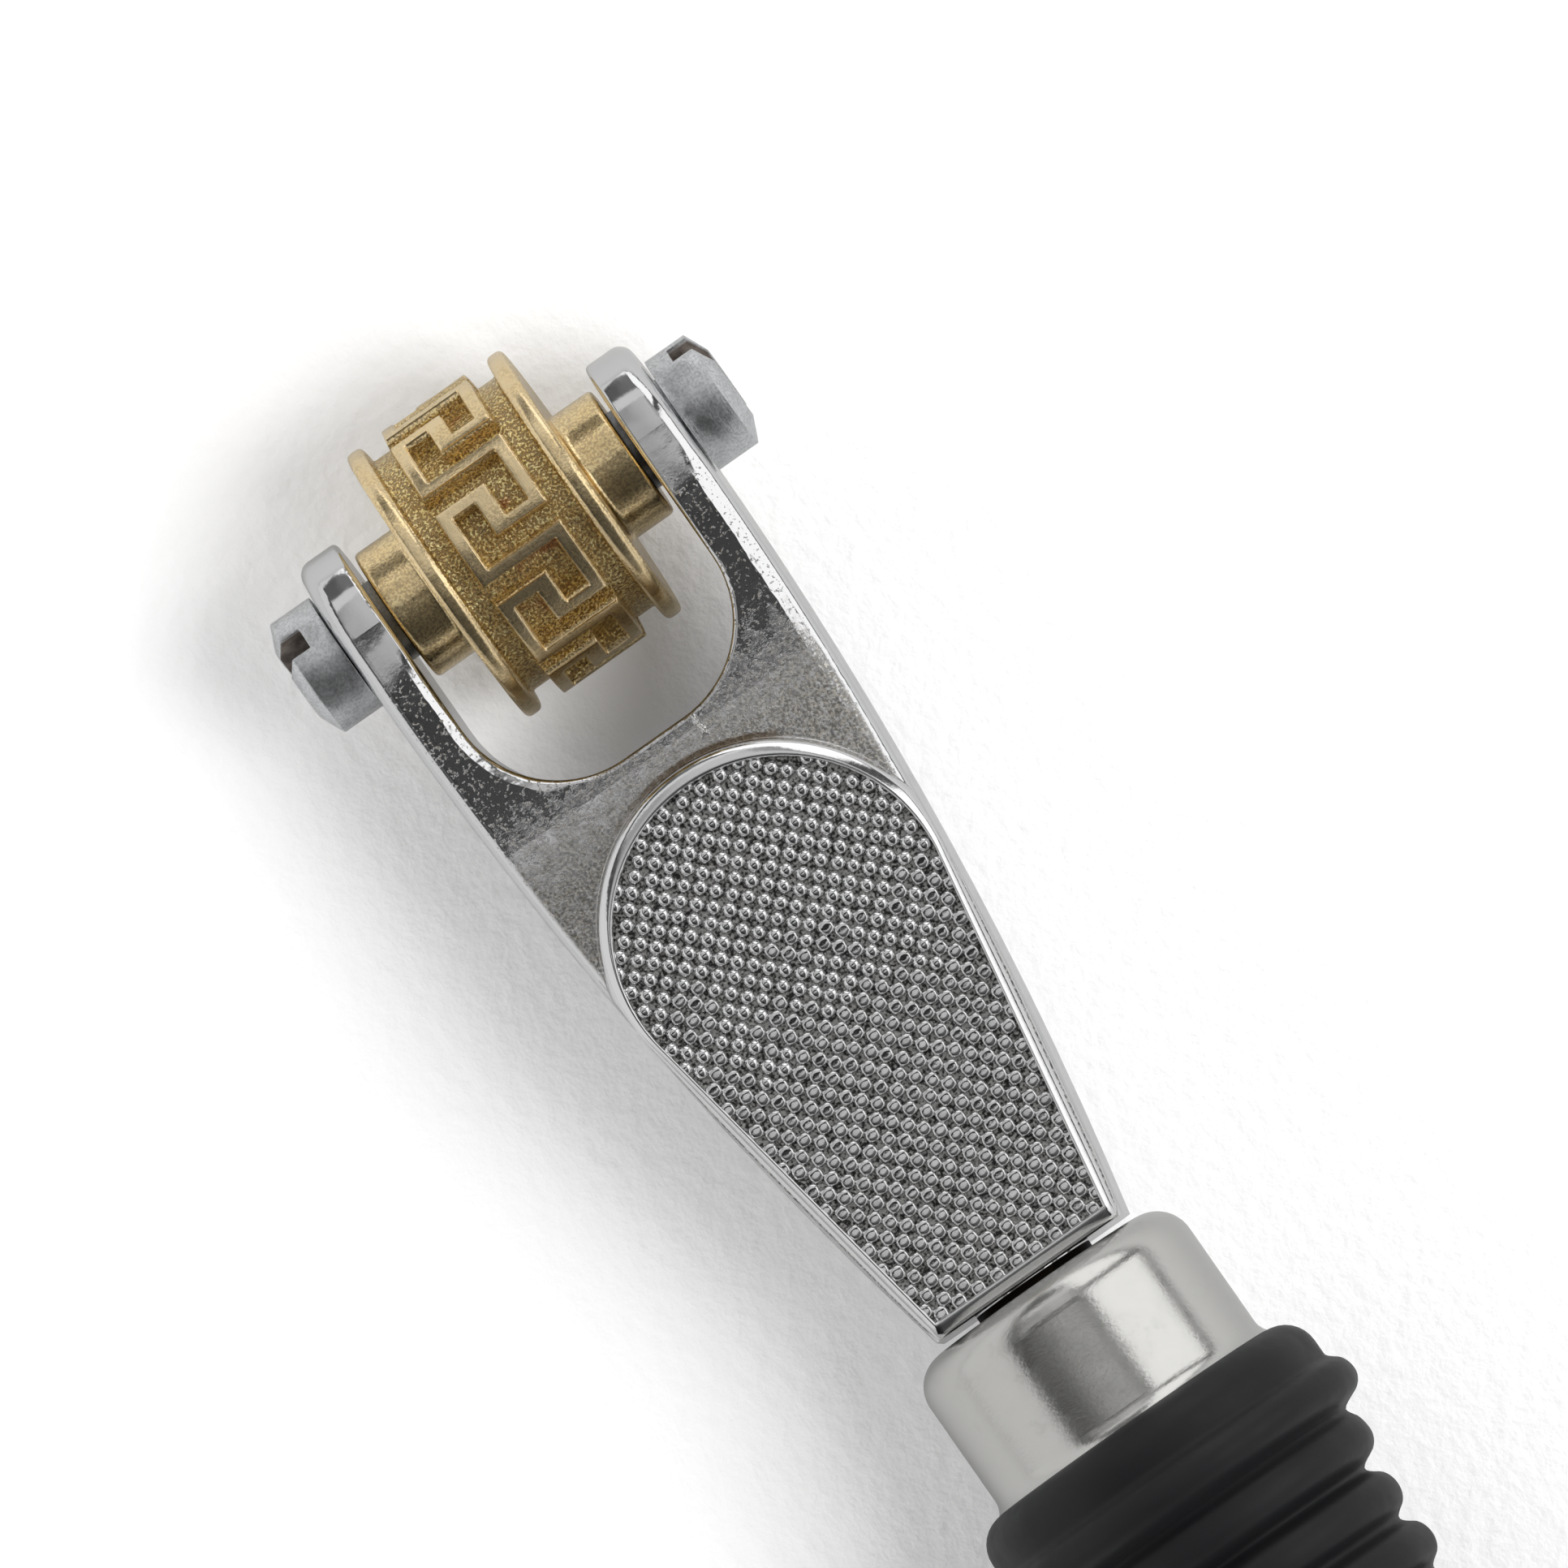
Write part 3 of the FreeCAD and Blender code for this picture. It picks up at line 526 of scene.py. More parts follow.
def brass_finish(groups, colours):
    """Cast brass: granular and golden in its recesses, pale and smooth where it is worn."""
    finish = Finish("brass", Metallic=1.0)
    build = finish.build
    x, y, z = build.split(finish.from_axle)
    radius = build.reach(x, z)
    raised = build.ramp(radius, WHEEL_RADIUS - 0.55 * MM, WHEEL_RADIUS - 0.12 * MM)
    inner = build.ramp(radius, 10.8 * MM, 10.4 * MM)
    worn = finish.group(groups["worn"], Level=raised, Patch=520.0, Seed=2.0)["Mask"]
    grain = finish.group(groups["grain"], Grain=4400.0, Threshold=0.44, Seed=4.0)
    blotch = build.ramp(finish.noise(520.0, 4.0, 0.62, 6.0), 0.3, 0.7)
    deep = build.mix(build.times(blotch, 0.6), colours.brass_deep, colours.brass)
    deep = build.scale(deep, build.ramp(grain["Fine"], 0.38, 0.62, 0.50, 1.28))
    colour = build.mix(build.most(worn, build.times(inner, 0.45)), deep, colours.brass)
    in_pocket = build.ramp(radius, WHEEL_RADIUS - 1.45 * MM, WHEEL_RADIUS - 1.65 * MM)
    in_band = build.below(build.size(y), BAND_HALF)
    red = build.ramp(finish.noise(330.0, 2.0, 0.5, 12.0), 0.58, 0.68)
    colour = build.mix(build.times(in_pocket, in_band, red, 0.6), colour, RED_BRASS)
    calm = build.minus(1.0, build.times(build.most(raised, inner), 0.96))
    broad = finish.noise(350.0, 3.0, 0.55, 8.0)
    rough = build.plus(grain["Height"], build.times(grain["Grit"], 0.42))
    height = build.plus(build.times(rough, calm), build.times(broad, 0.52))
    finish.bump(height, 0.95, 0.18 * MM)
    roughness = build.ramp(worn, 0.0, 1.0, 0.20, 0.22)
    finish.set(Base_Color=colour, Roughness=roughness)
    return finish.material


def steel_finish(colours):
    """Turned and tumbled steel with fine lathe lines, and dark dirt in the cut slots."""
    finish = Finish("turned_steel")
    build = finish.build
    x, y, z = build.split(finish.from_axle)
    radius = build.reach(x, z)
    drawn_out = build.vector(build.times(x, 0.04), y, build.times(z, 0.04))
    lines = build.noise(drawn_out, 9000.0, 2.0, 0.5, 1.0)
    blotch = finish.noise(900.0, 4.0, 0.65, 2.0)
    fine = finish.noise(4200.0, 3.0, 0.6, 3.0)
    finish.bump(build.plus(build.times(lines, 0.6), blotch, fine), 0.6, 0.04 * MM)
    from_end = build.minus(HEAD_END, build.size(y))
    chamfer = build.times(from_end, HEAD_CHAMFER / HEAD_CHAMFER_DEPTH)
    skin = build.least(HEAD_RADIUS, build.plus(HEAD_RADIUS - HEAD_CHAMFER, chamfer))
    inside = build.ramp(build.minus(skin, radius), 0.15 * MM, 0.45 * MM)
    slot = build.times(inside, build.ramp(from_end, 0.03 * MM, 0.12 * MM), build.below(from_end, 4.6 * MM))
    # Painted shade: the barrel between the hub and the arm is darkened, where the wheel and the fork shade
    # it
    shank_shade = build.times(build.below(build.size(y), 12.6 * MM), build.above(radius, 3.2 * MM))
    tone = build.ramp(blotch, 0.3, 0.7)
    light = [part * 1.05 for part in colours.steel]
    dark = [part * 0.86 for part in colours.steel]
    colour = build.mix(tone, dark, light)
    colour = build.scale(colour, build.ramp(fine, 0.36, 0.60, 0.82, 1.10))
    slot_grime_and_joint_shade = build.mix(tone, SLOT_GRIME, SLOT_DUST)
    colour = build.scale(colour, build.ramp(shank_shade, 0.0, 1.0, 1.0, 0.4))
    roughness = build.ramp(blotch, 0.3, 0.7, 0.30, 0.40)
    finish.set(Base_Color=build.mix(slot, colour, slot_grime_and_joint_shade), Roughness=build.blend(slot, roughness, 0.6),
               Metallic=build.ramp(slot, 0.0, 1.0, 1.0, 0.4))
    return finish.material


def nickel_finish(colours):
    """Satin nickel with a fine grain drawn along the cap."""
    finish = Finish("satin_nickel", Metallic=1.0)
    build = finish.build
    x, y, z = build.split(finish.from_axle)
    stretched = build.vector(x, build.times(y, 0.45), build.times(z, 0.45))
    drawn = build.noise(stretched, 4800.0, 3.0, 0.6, 3.0)
    broad = finish.noise(90.0, 2.0, 0.5, 4.0)
    smudge = finish.noise(420.0, 3.0, 0.6, 5.0)
    finish.bump(build.plus(drawn, build.times(broad, 1.2)), 0.4, 0.04 * MM)
    colour = build.scale(colours.nickel, build.ramp(smudge, 0.25, 0.45, 0.93, 1.0))
    finish.set(Base_Color=colour, Roughness=build.ramp(smudge, 0.3, 0.7, 0.24, 0.17))
    return finish.material


def rubber_finish(groups, colours):
    """Moulded rubber with a soft sheen, fine flow lines and a little dust."""
    finish = Finish("black_rubber", Metallic=0.0, Specular_IOR_Level=0.27)
    build = finish.build
    dust = finish.group(groups["dust"], Spacing=620.0, Seed=3.0)["Mask"]
    fine = finish.noise(2600.0, 3.0, 0.6, 5.0)
    broad = finish.noise(240.0, 3.0, 0.6, 6.0)
    finish.bump(build.plus(fine, broad), 0.18, 0.05 * MM)
    colour = build.mix(dust, colours.rubber, RUBBER_DUST)
    finish.set(Base_Color=colour, Roughness=build.ramp(broad, 0.3, 0.7, 0.40, 0.52))
    return finish.material


def plain_finish(name, colour, metallic, roughness):
    """A hidden part's finish, with a little variation over the surface."""
    finish = Finish(name, Metallic=metallic)
    build = finish.build
    blotch = finish.noise(500.0, 3.0, 0.6, 1.0)
    finish.bump(blotch, 0.2, 0.03 * MM)
    shade = build.mix(blotch, [part * 0.9 for part in colour], colour)
    finish.set(Base_Color=shade, Roughness=build.ramp(blotch, 0.3, 0.7, roughness, roughness + 0.1))
    return finish.material


MATERIALS = {}


def make_finishes():
    """Makes each finish once and keeps it by the name of its slot."""
    if MATERIALS:
        return
    colours = bpy.context.scene.roller_colours
    groups = {"grain": cast_grain_group(), "worn": worn_group(), "dust": dust_group()}
    MATERIALS["chrome_plate"] = chrome_finish(groups, colours)
    MATERIALS["brass"] = brass_finish(groups, colours)
    MATERIALS["turned_steel"] = steel_finish(colours)
    MATERIALS["satin_nickel"] = nickel_finish(colours)
    MATERIALS["black_rubber"] = rubber_finish(groups, colours)
    MATERIALS["core_plastic"] = plain_finish("core_plastic", (0.2, 0.2, 0.21), 0.0, 0.5)
    MATERIALS["zinc_steel"] = plain_finish("zinc_steel", (0.62, 0.63, 0.65), 1.0, 0.35)


def paint(piece, slot):
    """Gives a piece or a CAD node one finish, the one made for the slot."""
    piece.data.materials.clear()
    piece.data.materials.append(MATERIALS[slot])


def add_object(name, data):
    item = bpy.data.objects.new(name, data)
    bpy.context.scene.collection.objects.link(item)
    return item


def new_piece(name, vertices, faces):
    mesh = bpy.data.meshes.new(name)
    mesh.from_pydata(vertices, [], faces)
    mesh.validate()
    return add_object(name, mesh)


def ring_faces(rings, sides, closed=True):
    """Faces between rings of points in a row. A closed row also joins its last ring to its first."""
    faces = []
    for ring in range(rings if closed else rings - 1):
        here = ring * sides
        following = (ring + 1) % rings * sides
        for step in range(sides):
            ahead = (step + 1) % sides
            faces.append((here + step, here + ahead, following + ahead, following + step))
    return faces


def settle(piece):
    """Turns a piece with its modifiers into a plain mesh."""
    bpy.context.view_layer.update()
    graph = bpy.context.evaluated_depsgraph_get()
    mesh = bpy.data.meshes.new_from_object(piece.evaluated_get(graph))
    old = piece.data
    piece.modifiers.clear()
    piece.data = mesh
    mesh.name = piece.name
    bpy.data.meshes.remove(old)


def add_nodes(piece, tree, **inputs):
    """Puts a geometry node tree on a piece and sets its named inputs."""
    modifier = piece.modifiers.new(tree.name, "NODES")
    modifier.node_group = tree
    sockets = {item.name: item.identifier for item in tree.interface.items_tree if item.in_out == "INPUT"}
    for key, value in inputs.items():
        modifier[sockets[key.replace("_", " ")]] = value


def shade(piece, degrees=40.0):
    """Smooth shading with sharp edges kept."""
    for polygon in piece.data.polygons:
        polygon.use_smooth = True
    piece.data.set_sharp_from_angle(angle=math.radians(degrees))


def face_outward(piece):
    work = bmesh.new()
    work.from_mesh(piece.data)
    bmesh.ops.recalc_face_normals(work, faces=work.faces)
    work.to_mesh(piece.data)
    work.free()


def merged_copy(node, name):
    """A copy of a CAD node's mesh with its loose triangles joined."""
    piece = add_object(name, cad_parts[node].data.copy())
    work = bmesh.new()
    work.from_mesh(piece.data)
    bmesh.ops.remove_doubles(work, verts=work.verts, dist=0.0005 * MM)
    flat = math.radians(0.5)
    bmesh.ops.dissolve_limit(work, angle_limit=flat, verts=work.verts, edges=work.edges)
    work.to_mesh(piece.data)
    work.free()
    return piece


# Pattern wheel
KEY_COUNT = 9
KEY_UNIT = math.tau / KEY_COUNT
KEY_START = math.radians(-26.6)
KEY_CHANNEL = math.radians(7.2)
KEY_POCKET = math.radians(21.6)
KEY_SHIFT = math.radians(12.8)
BAND_HALF = 4.3 * MM
BAND_FOOT = 0.5 * MM
KEY_ROW_END = 2.9 * MM
KEY_ROW_START = 0.9 * MM
HUB_END = 11.9 * MM
HUB_RADIUS = 6.1 * MM
WHEEL_BORE = 3.8 * MM
FLANGE_OUT = 7.85 * MM
FLANGE_IN = 6.15 * MM
# Steps of the wheel's mesh, away from the pattern's walls and beside them: across the band, and round it
BAND_PITCH = 0.22 * MM
BAND_FINE = 0.09 * MM
TURN_PITCH = 1.1 / 57.3
TURN_FINE = 0.42 / 57.3


def key_cuts():
    """The cuts of one unit of the key: middle angle, half angle, middle and half width."""
    far_start = KEY_SHIFT + KEY_POCKET - KEY_CHANNEL
    open_end = BAND_HALF + 1.0 * MM
    spans = [
        (0.0, KEY_CHANNEL, -open_end, KEY_ROW_END),
        (0.0, KEY_POCKET, KEY_ROW_START, KEY_ROW_END),
        (KEY_SHIFT, KEY_SHIFT + KEY_POCKET, -KEY_ROW_END, -KEY_ROW_START),
        (far_start, far_start + KEY_CHANNEL, -KEY_ROW_END, open_end),
    ]
    return [((start + end) / 2, (end - start) / 2, (low + high) / 2, (high - low) / 2)
            for start, end, low, high in spans]


def key_relief_tree():
    """Raises the key pattern from the turned blank by the distance of each point from the pattern's cuts."""
    build, source, result = new_group("Key relief", "GeometryNodeTree", [
        ("Geometry", "Geometry", None),
        ("Relief", "Float", 1.65 * MM),
        ("Edge", "Float", 0.3 * MM),
        ("Skin", "Float", 0.03 * MM),
        ("Skin Seed", "Float", 7.0),
        ("Material", "Material", None),
    ], [("Geometry", "Geometry")])
    place = build.add("GeometryNodeInputPosition").outputs[0]
    x, y, z = build.split(place)
    along = build.minus(x, AXLE_X)
    up = build.minus(z, AXLE_Z)
    radius = build.reach(along, up)
    angle = build.minus(build.math("ARCTAN2", along, up), KEY_START)
    in_unit = build.math("FLOORED_MODULO", angle, KEY_UNIT)
    distances = []
    for turn in (-1, 0, 1):
        for middle, half, centre, half_width in key_cuts():
            across = build.size(build.minus(in_unit, middle + turn * KEY_UNIT))
            across = build.times(build.minus(across, half), WHEEL_RADIUS)
            over = build.minus(build.size(build.minus(y, centre)), half_width)
            corner = build.reach(build.most(across, 0.0), build.most(over, 0.0))
            inside = build.least(build.most(across, over), 0.0)
            distances.append(build.plus(corner, inside))
    to_edge = build.minus(BAND_HALF, build.size(y))
    depth = build.least(*distances, to_edge)
    foot = build.times(source["Edge"], -0.35)
    step = build.ramp(depth, foot, source["Edge"])
    # The ramp leaves the floor fast and comes slowly to the worn top
    rise = build.minus(1.0, build.math("POWER", build.minus(1.0, step), 1.6))
    on_drum = build.below(build.size(y), BAND_HALF + 0.6 * MM)
    on_face = build.above(radius, WHEEL_RADIUS - 2.0 * MM)
    lift = build.times(rise, source["Relief"], on_drum, on_face)
    skin = build.noise(place, 1100.0, 3.0, 0.6, source["Skin Seed"])
    skin = build.times(build.minus(skin, 0.5), source["Skin"])
    push = build.math("DIVIDE", build.plus(lift, skin), radius)
    offset = build.vector(build.times(along, push), 0.0, build.times(up, push))
    moved = build.add("GeometryNodeSetPosition", {"Geometry": source["Geometry"], "Offset": offset})
    build.end_geometry(moved.outputs[0], source["Material"], result)
    return build.tree


def rounded(corners, steps=5):
    """A polyline with chosen corners rounded. Each corner is (y, radius, rounding)."""
    points = []
    count = len(corners)
    for index, (y, radius, rounding) in enumerate(corners):
        here = Vector((y, radius))
        if rounding == 0 or index in (0, count - 1):
            points.append(here)
            continue
        before = (Vector(corners[index - 1][:2]) - here).normalized()
        after = (Vector(corners[index + 1][:2]) - here).normalized()
        for step in range(steps + 1):
            share = step / steps
            first = here + before * rounding * (1 - share)
            second = here + after * rounding * share
            points.append(first.lerp(second, share))
    return points


def spaced(points, pitch):
    """The same polyline with its long runs divided."""
    result = [points[0]]
    for start, end in zip(points, points[1:]):
        parts = max(1, math.ceil((end - start).length / pitch))
        result += [start.lerp(end, step / parts) for step in range(1, parts + 1)]
    return result


def fine_lines(places, low, high, pitch, fine):
    """Division lines between two limits: close together near the given places and wider elsewhere."""
    lines = {low, high}
    for place in places:
        for step in (-3.0, -2.0, -1.0, -0.35, 0.35, 1.0, 2.0, 3.5):
            lines.add(place + step * fine)
    lines = sorted(line for line in lines if low <= line <= high)
    result = [lines[0]]
    for line in lines[1:]:
        gap = line - result[-1]
        if gap < fine * 0.3:
            continue
        parts = max(1, math.ceil(gap / pitch))
        start = result[-1]
        result += [start + gap * step / parts for step in range(1, parts + 1)]
    return result


def wheel_blank(relief):
    """The wheel's turned blank, whose closed section is divided finely where the key pattern will rise."""
    drum = WHEEL_RADIUS - relief
    drum_end = BAND_HALF + BAND_FOOT
    rows = (-BAND_HALF, -KEY_ROW_END, -KEY_ROW_START, KEY_ROW_START, KEY_ROW_END, BAND_HALF)
    band = fine_lines(rows, -drum_end, drum_end, BAND_PITCH, BAND_FINE)
    edge = 0.55 * MM
    side = [
        (drum_end, drum, 0), (FLANGE_IN, drum, 0.35 * MM),
        (FLANGE_IN + 0.12 * MM, WHEEL_RADIUS, edge), (FLANGE_OUT - 0.08 * MM, WHEEL_RADIUS, edge),
        (FLANGE_OUT, HUB_RADIUS, 0.5 * MM), (HUB_END, HUB_RADIUS, 0.5 * MM),
        (HUB_END, WHEEL_BORE, 0.2 * MM), (0.0, WHEEL_BORE, 0),
    ]
    right = spaced(rounded(side), 0.5 * MM)
    left = [Vector((-point.x, point.y)) for point in reversed(right)]
    section = [Vector((y, drum)) for y in band[1:-1]] + right + left[1:]
    walls = []
    for unit in range(KEY_COUNT):
        for middle, half, _, _ in key_cuts():
            walls += [unit * KEY_UNIT + middle - half, unit * KEY_UNIT + middle + half]
    walls = [wall % math.tau for wall in walls]
    turns = fine_lines(walls, 0.0, math.tau, TURN_PITCH, TURN_FINE)[:-1]
    vertices = []
    for turn in turns:
        angle = turn + KEY_START
        for y, radius in section:
            vertices.append((AXLE_X + radius * math.sin(angle), y, AXLE_Z + radius * math.cos(angle)))
    return new_piece("pattern_wheel_casting", vertices, ring_faces(len(turns), len(section)))


class ROLLER_OT_wheel(bpy.types.Operator):
    """Builds the brass wheel with its key pattern."""
    bl_idname = "roller.wheel"
    bl_label = "Pattern wheel"

    def execute(self, context):
        make_finishes()
        sizes = context.scene.roller_sizes
        piece = wheel_blank(sizes.wheel_relief)
        add_nodes(piece, key_relief_tree(), Relief=sizes.wheel_relief, Edge=sizes.wheel_edge,
                  Material=MATERIALS["brass"])
        settle(piece)
        face_outward(piece)
        shade(piece, 60.0)
        paint(piece, "brass")
        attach(piece, "wheel")
        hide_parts("pattern_wheel")
        return {"FINISHED"}


class ROLLER_OT_axle(bpy.types.Operator):
    """Breaks the sharp turned edges of the barrel and the screw."""
    bl_idname = "roller.axle"
    bl_label = "Two-headed axle"

    def execute(self, context):
        make_finishes()
        sizes = context.scene.roller_sizes
        for node, body in (("axle_barrel", "axle"), ("axle_screw", "screw")):
            piece = merged_copy(node, node + "_turned")
            bevel = piece.modifiers.new("edge_break", "BEVEL")
            bevel.width = sizes.edge_break
            bevel.segments = 2
            bevel.limit_method = "ANGLE"
            bevel.angle_limit = math.radians(28.0)
            settle(piece)
            shade(piece, 30.0)
            paint(piece, "turned_steel")
            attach(piece, body)
            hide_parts(node)
        return {"FINISHED"}


# Thumb pad
FIELD_START = 25.5 * MM
FIELD_COLUMNS = 51
FIELD_ROWS = 17
BEAD_SIDES = 12
# In plan a bead is between round, which is 2, and square
ROUND_BEAD_SQUARENESS = 2.5
FLAT_BEAD_SQUARENESS = 3.2
# Half widths and heights of the two kinds of bead, as shares: round ones at the front, flat ones behind
ROUND_BEAD = (
    (1.02, -0.2), (1.0, 0.30), (0.93, 0.50), (0.82, 0.67),
    (0.69, 0.80), (0.54, 0.90), (0.38, 0.96), (0.20, 0.985),
)
FLAT_BEAD = (
    (1.0, -0.2), (1.0, 0.44), (0.95, 0.60), (0.86, 0.73), (0.76, 0.82), (0.69, 0.85), (0.30, 0.86),
)
# Steps of the rim along the round front, each straight side and each half of the end
RIM_FRONT_STEPS = 96
RIM_SIDE_STEPS = 28
RIM_END_STEPS = 14


def bead_cap(name, width, height, rings, squareness):
    """One bead: a dome or a flat top on short walls, between round and square in plan."""
    vertices = []
    for share, level in rings:
        for step in range(BEAD_SIDES):
            turn = math.tau * (step + 0.5) / BEAD_SIDES
            x, y = math.cos(turn), math.sin(turn)
            reach = (abs(x) ** squareness + abs(y) ** squareness) ** (-1.0 / squareness)
            reach = reach * width / 2 * share
            vertices.append((x * reach, y * reach, level * height))
    top = len(vertices) - BEAD_SIDES
    ends = [tuple(range(top, len(vertices))), tuple(reversed(range(BEAD_SIDES)))]
    return new_piece(name, vertices, ring_faces(len(rings), BEAD_SIDES, closed=False) + ends)


def bead_field_tree():
    """Sets beads in staggered rows wherever the casting has the sunk bed of the pad under them."""
    build, source, result = new_group("Bead field", "GeometryNodeTree", [
        ("Geometry", "Geometry", None),
        ("Casting", "Object", None),
        ("Front Bead", "Object", None),
        ("Rear Bead", "Object", None),
        ("Change", "Float", 45.0 * MM),
        ("Pitch", "Float", 1.9 * MM),
        ("Unevenness", "Float", 0.05 * MM),
        ("Seed", "Int", 11),
        ("Material", "Material", None),
    ], [("Geometry", "Geometry")])
    grid = build.add("GeometryNodeMeshGrid", {
        "Size X": FIELD_COLUMNS - 1.0, "Size Y": FIELD_ROWS - 1.0,
        "Vertices X": FIELD_COLUMNS, "Vertices Y": FIELD_ROWS,
    })
    step_x, step_y, _ = build.split(build.add("GeometryNodeInputPosition").outputs[0])
    column = build.plus(step_x, (FIELD_COLUMNS - 1) / 2)
    odd = build.math("MODULO", build.math("ROUND", column), 2.0)
    x = build.plus(build.times(column, build.times(source["Pitch"], 0.5)), AXLE_X + FIELD_START)
    y = build.times(build.plus(step_y, build.times(odd, 0.5)), source["Pitch"])
    placed = build.add("GeometryNodeSetPosition", {
        "Geometry": grid.outputs["Mesh"], "Position": build.vector(x, y, AXLE_Z + BEAD_BED),
    })
    casting = build.add("GeometryNodeObjectInfo", {"Object": source["Casting"]}).outputs["Geometry"]
    here_x, here_y, _ = build.split(build.add("GeometryNodeInputPosition").outputs[0])
    above_pad = build.vector(here_x, here_y, AXLE_Z + PAD_TOP + 5.0 * MM)
    ray = build.add("GeometryNodeRaycast", {
        "Target Geometry": casting, "Source Position": above_pad,
        "Ray Direction": (0.0, 0.0, -1.0), "Ray Length": 10.0 * MM,
    })
    over = build.minus(build.split(ray.outputs["Hit Position"])[2], AXLE_Z + BEAD_BED)
    facing = build.size(build.split(ray.outputs["Hit Normal"])[2])
    blocked = build.most(build.above(build.size(over), 0.12 * MM), build.below(facing, 0.9))
    kept = build.add("GeometryNodeDeleteGeometry", {"Geometry": placed.outputs[0], "Selection": blocked})
    jitter = build.random((-1.0, -1.0, -0.6), (1.0, 1.0, 0.6), source["Seed"])
    tilt = build.random((-0.035, -0.035, -0.2), (0.035, 0.035, 0.2), build.plus(source["Seed"], 1.0))
    growth = build.random((0.92, 0.92, 0.90), (1.05, 1.05, 1.06), build.plus(source["Seed"], 2.0))
    uneven = build.add("GeometryNodeSetPosition", {
        "Geometry": kept.outputs[0], "Offset": build.scale(jitter, source["Unevenness"]),
    })
    place = build.add("GeometryNodeInputPosition").outputs[0]
    waver = build.ramp(build.noise(place, 200.0), 0.3, 0.7, -8.0 * MM, 8.0 * MM, smooth=False)
    behind = build.above(build.plus(here_x, waver), build.plus(source["Change"], AXLE_X))
    both = build.add("GeometryNodeJoinGeometry")
    for label, chosen in (("Rear Bead", behind), ("Front Bead", build.minus(1.0, behind))):
        bead = build.add("GeometryNodeObjectInfo", {"Object": source[label]}).outputs["Geometry"]
        beads = build.add("GeometryNodeInstanceOnPoints", {
            "Points": uneven.outputs[0], "Selection": chosen, "Instance": bead,
            "Rotation": tilt, "Scale": growth,
        })
        build.feed(both.inputs[0], beads.outputs[0])
    build.end_geometry(both.outputs[0], source["Material"], result)
    return build.tree


def half_width(along):
    """Half width of the casting's side outline."""
    run = along - SIDE_CREST
    return ARM_OUTER - SIDE_RADIUS + math.sqrt(SIDE_RADIUS * SIDE_RADIUS - run * run)


def pad_outline():
    """Stations round the pad: a point on its wall, the way out from it, and the way in to the bead bed."""
    run = BODY_END - PAD_CENTRE
    touch = math.atan2(PAD_END_HALF, run) + math.acos(PAD_RADIUS / math.hypot(run, PAD_END_HALF))
    stations = []
    for step in range(RIM_FRONT_STEPS + 1):
        turn = touch + (math.tau - 2 * touch) * step / RIM_FRONT_STEPS
        out = Vector((math.cos(turn), math.sin(turn)))
        wall = Vector((PAD_CENTRE, 0.0)) + out * PAD_RADIUS
        stations.append((wall, out, out * -(RIM_WIDTH - 0.5 * MM * out.x)))
    side = Vector((math.cos(touch), -math.sin(touch)))
    ahead = Vector((1.0, 0.0))
    corner = Vector((BODY_END, -PAD_END_HALF))
    way_in = Vector((-RIM_END_WIDTH, RIM_WIDTH - 0.2 * MM))
    start, _, start_in = stations[-1]
    sides = []
    for step in range(1, RIM_SIDE_STEPS):
        share = step / RIM_SIDE_STEPS
        sides.append((start.lerp(corner, share), side, start_in.lerp(side * -RIM_WIDTH, share)))
    sides.append((corner, (side + ahead) / (1.0 + side.dot(ahead)), way_in))
    for step in range(1, RIM_END_STEPS):
        share = step / RIM_END_STEPS
        place = Vector((BODY_END, -PAD_END_HALF * (1 - share)))
        sides.append((place, ahead, Vector((-RIM_END_WIDTH, way_in.y * (1 - share)))))
    flip = Vector((1.0, -1.0))
    mirrored = [(place * flip, out * flip, way * flip) for place, out, way in reversed(sides)]
    middle = (Vector((BODY_END, 0.0)), ahead, Vector((-RIM_END_WIDTH, 0.0)))
    return stations + sides + [middle] + mirrored


def rim_section(wall, crest):
    """The rim's section at a point of the pad's wall, as (in, out, height), and the room outside it."""
    rise = min(max((wall.x - DECK_BEND) / (DECK_END - DECK_BEND), 0.0), 1.0)
    deck = EYE_RADIUS + DECK_RISE * rise
    to_side = half_width(wall.x) - abs(wall.y)
    room = max(min(0.5 * MM, to_side - 0.1 * MM, (BODY_END - wall.x) * 0.25), 0.005 * MM)
    # The foot stands on the rounded edge of the casting where the pad comes near its side
    reach = max(SIDE_ROUNDING - (to_side - room), 0.0)
    drop = SIDE_ROUNDING - math.sqrt(SIDE_ROUNDING ** 2 - min(reach, SIDE_ROUNDING) ** 2)
    foot = deck - drop
    hollow = [(1.0, foot - 0.05 * MM), (0.70, foot + 0.06 * MM), (0.52, foot + 0.24 * MM),
              (0.44, PAD_TOP - 0.98 * MM), (0.28, PAD_TOP - 0.62 * MM), (0.10, PAD_TOP - 0.32 * MM)]
    bulging = [(1.0, foot - 0.05 * MM), (0.98, foot + 0.30 * MM), (0.92, PAD_TOP - 1.45 * MM),
               (0.78, PAD_TOP - 1.00 * MM), (0.52, PAD_TOP - 0.60 * MM), (0.24, PAD_TOP - 0.30 * MM)]
    share = min(drop / (0.5 * MM), 1.0)
    outside = [(0.0, first[0] + (second[0] - first[0]) * share, first[1] + (second[1] - first[1]) * share)
               for first, second in zip(hollow, bulging)]
    top = PAD_TOP + crest
    inside = [
        (0.15, 0.0, top - 0.35 * MM), (0.40, 0.0, top - 0.22 * MM), (0.68, 0.0, top - 0.09 * MM),
        (0.90, 0.0, top - 0.01 * MM), (1.02, 0.0, top - 0.03 * MM), (1.12, 0.0, top - 0.15 * MM),
        (1.18, 0.0, PAD_TOP - 0.25 * MM), (1.21, 0.0, BEAD_BED - 0.05 * MM),
        (0.80, 0.0, BEAD_BED - 0.35 * MM), (0.10, 0.0, foot - 0.40 * MM),
    ]
    return outside + inside, room


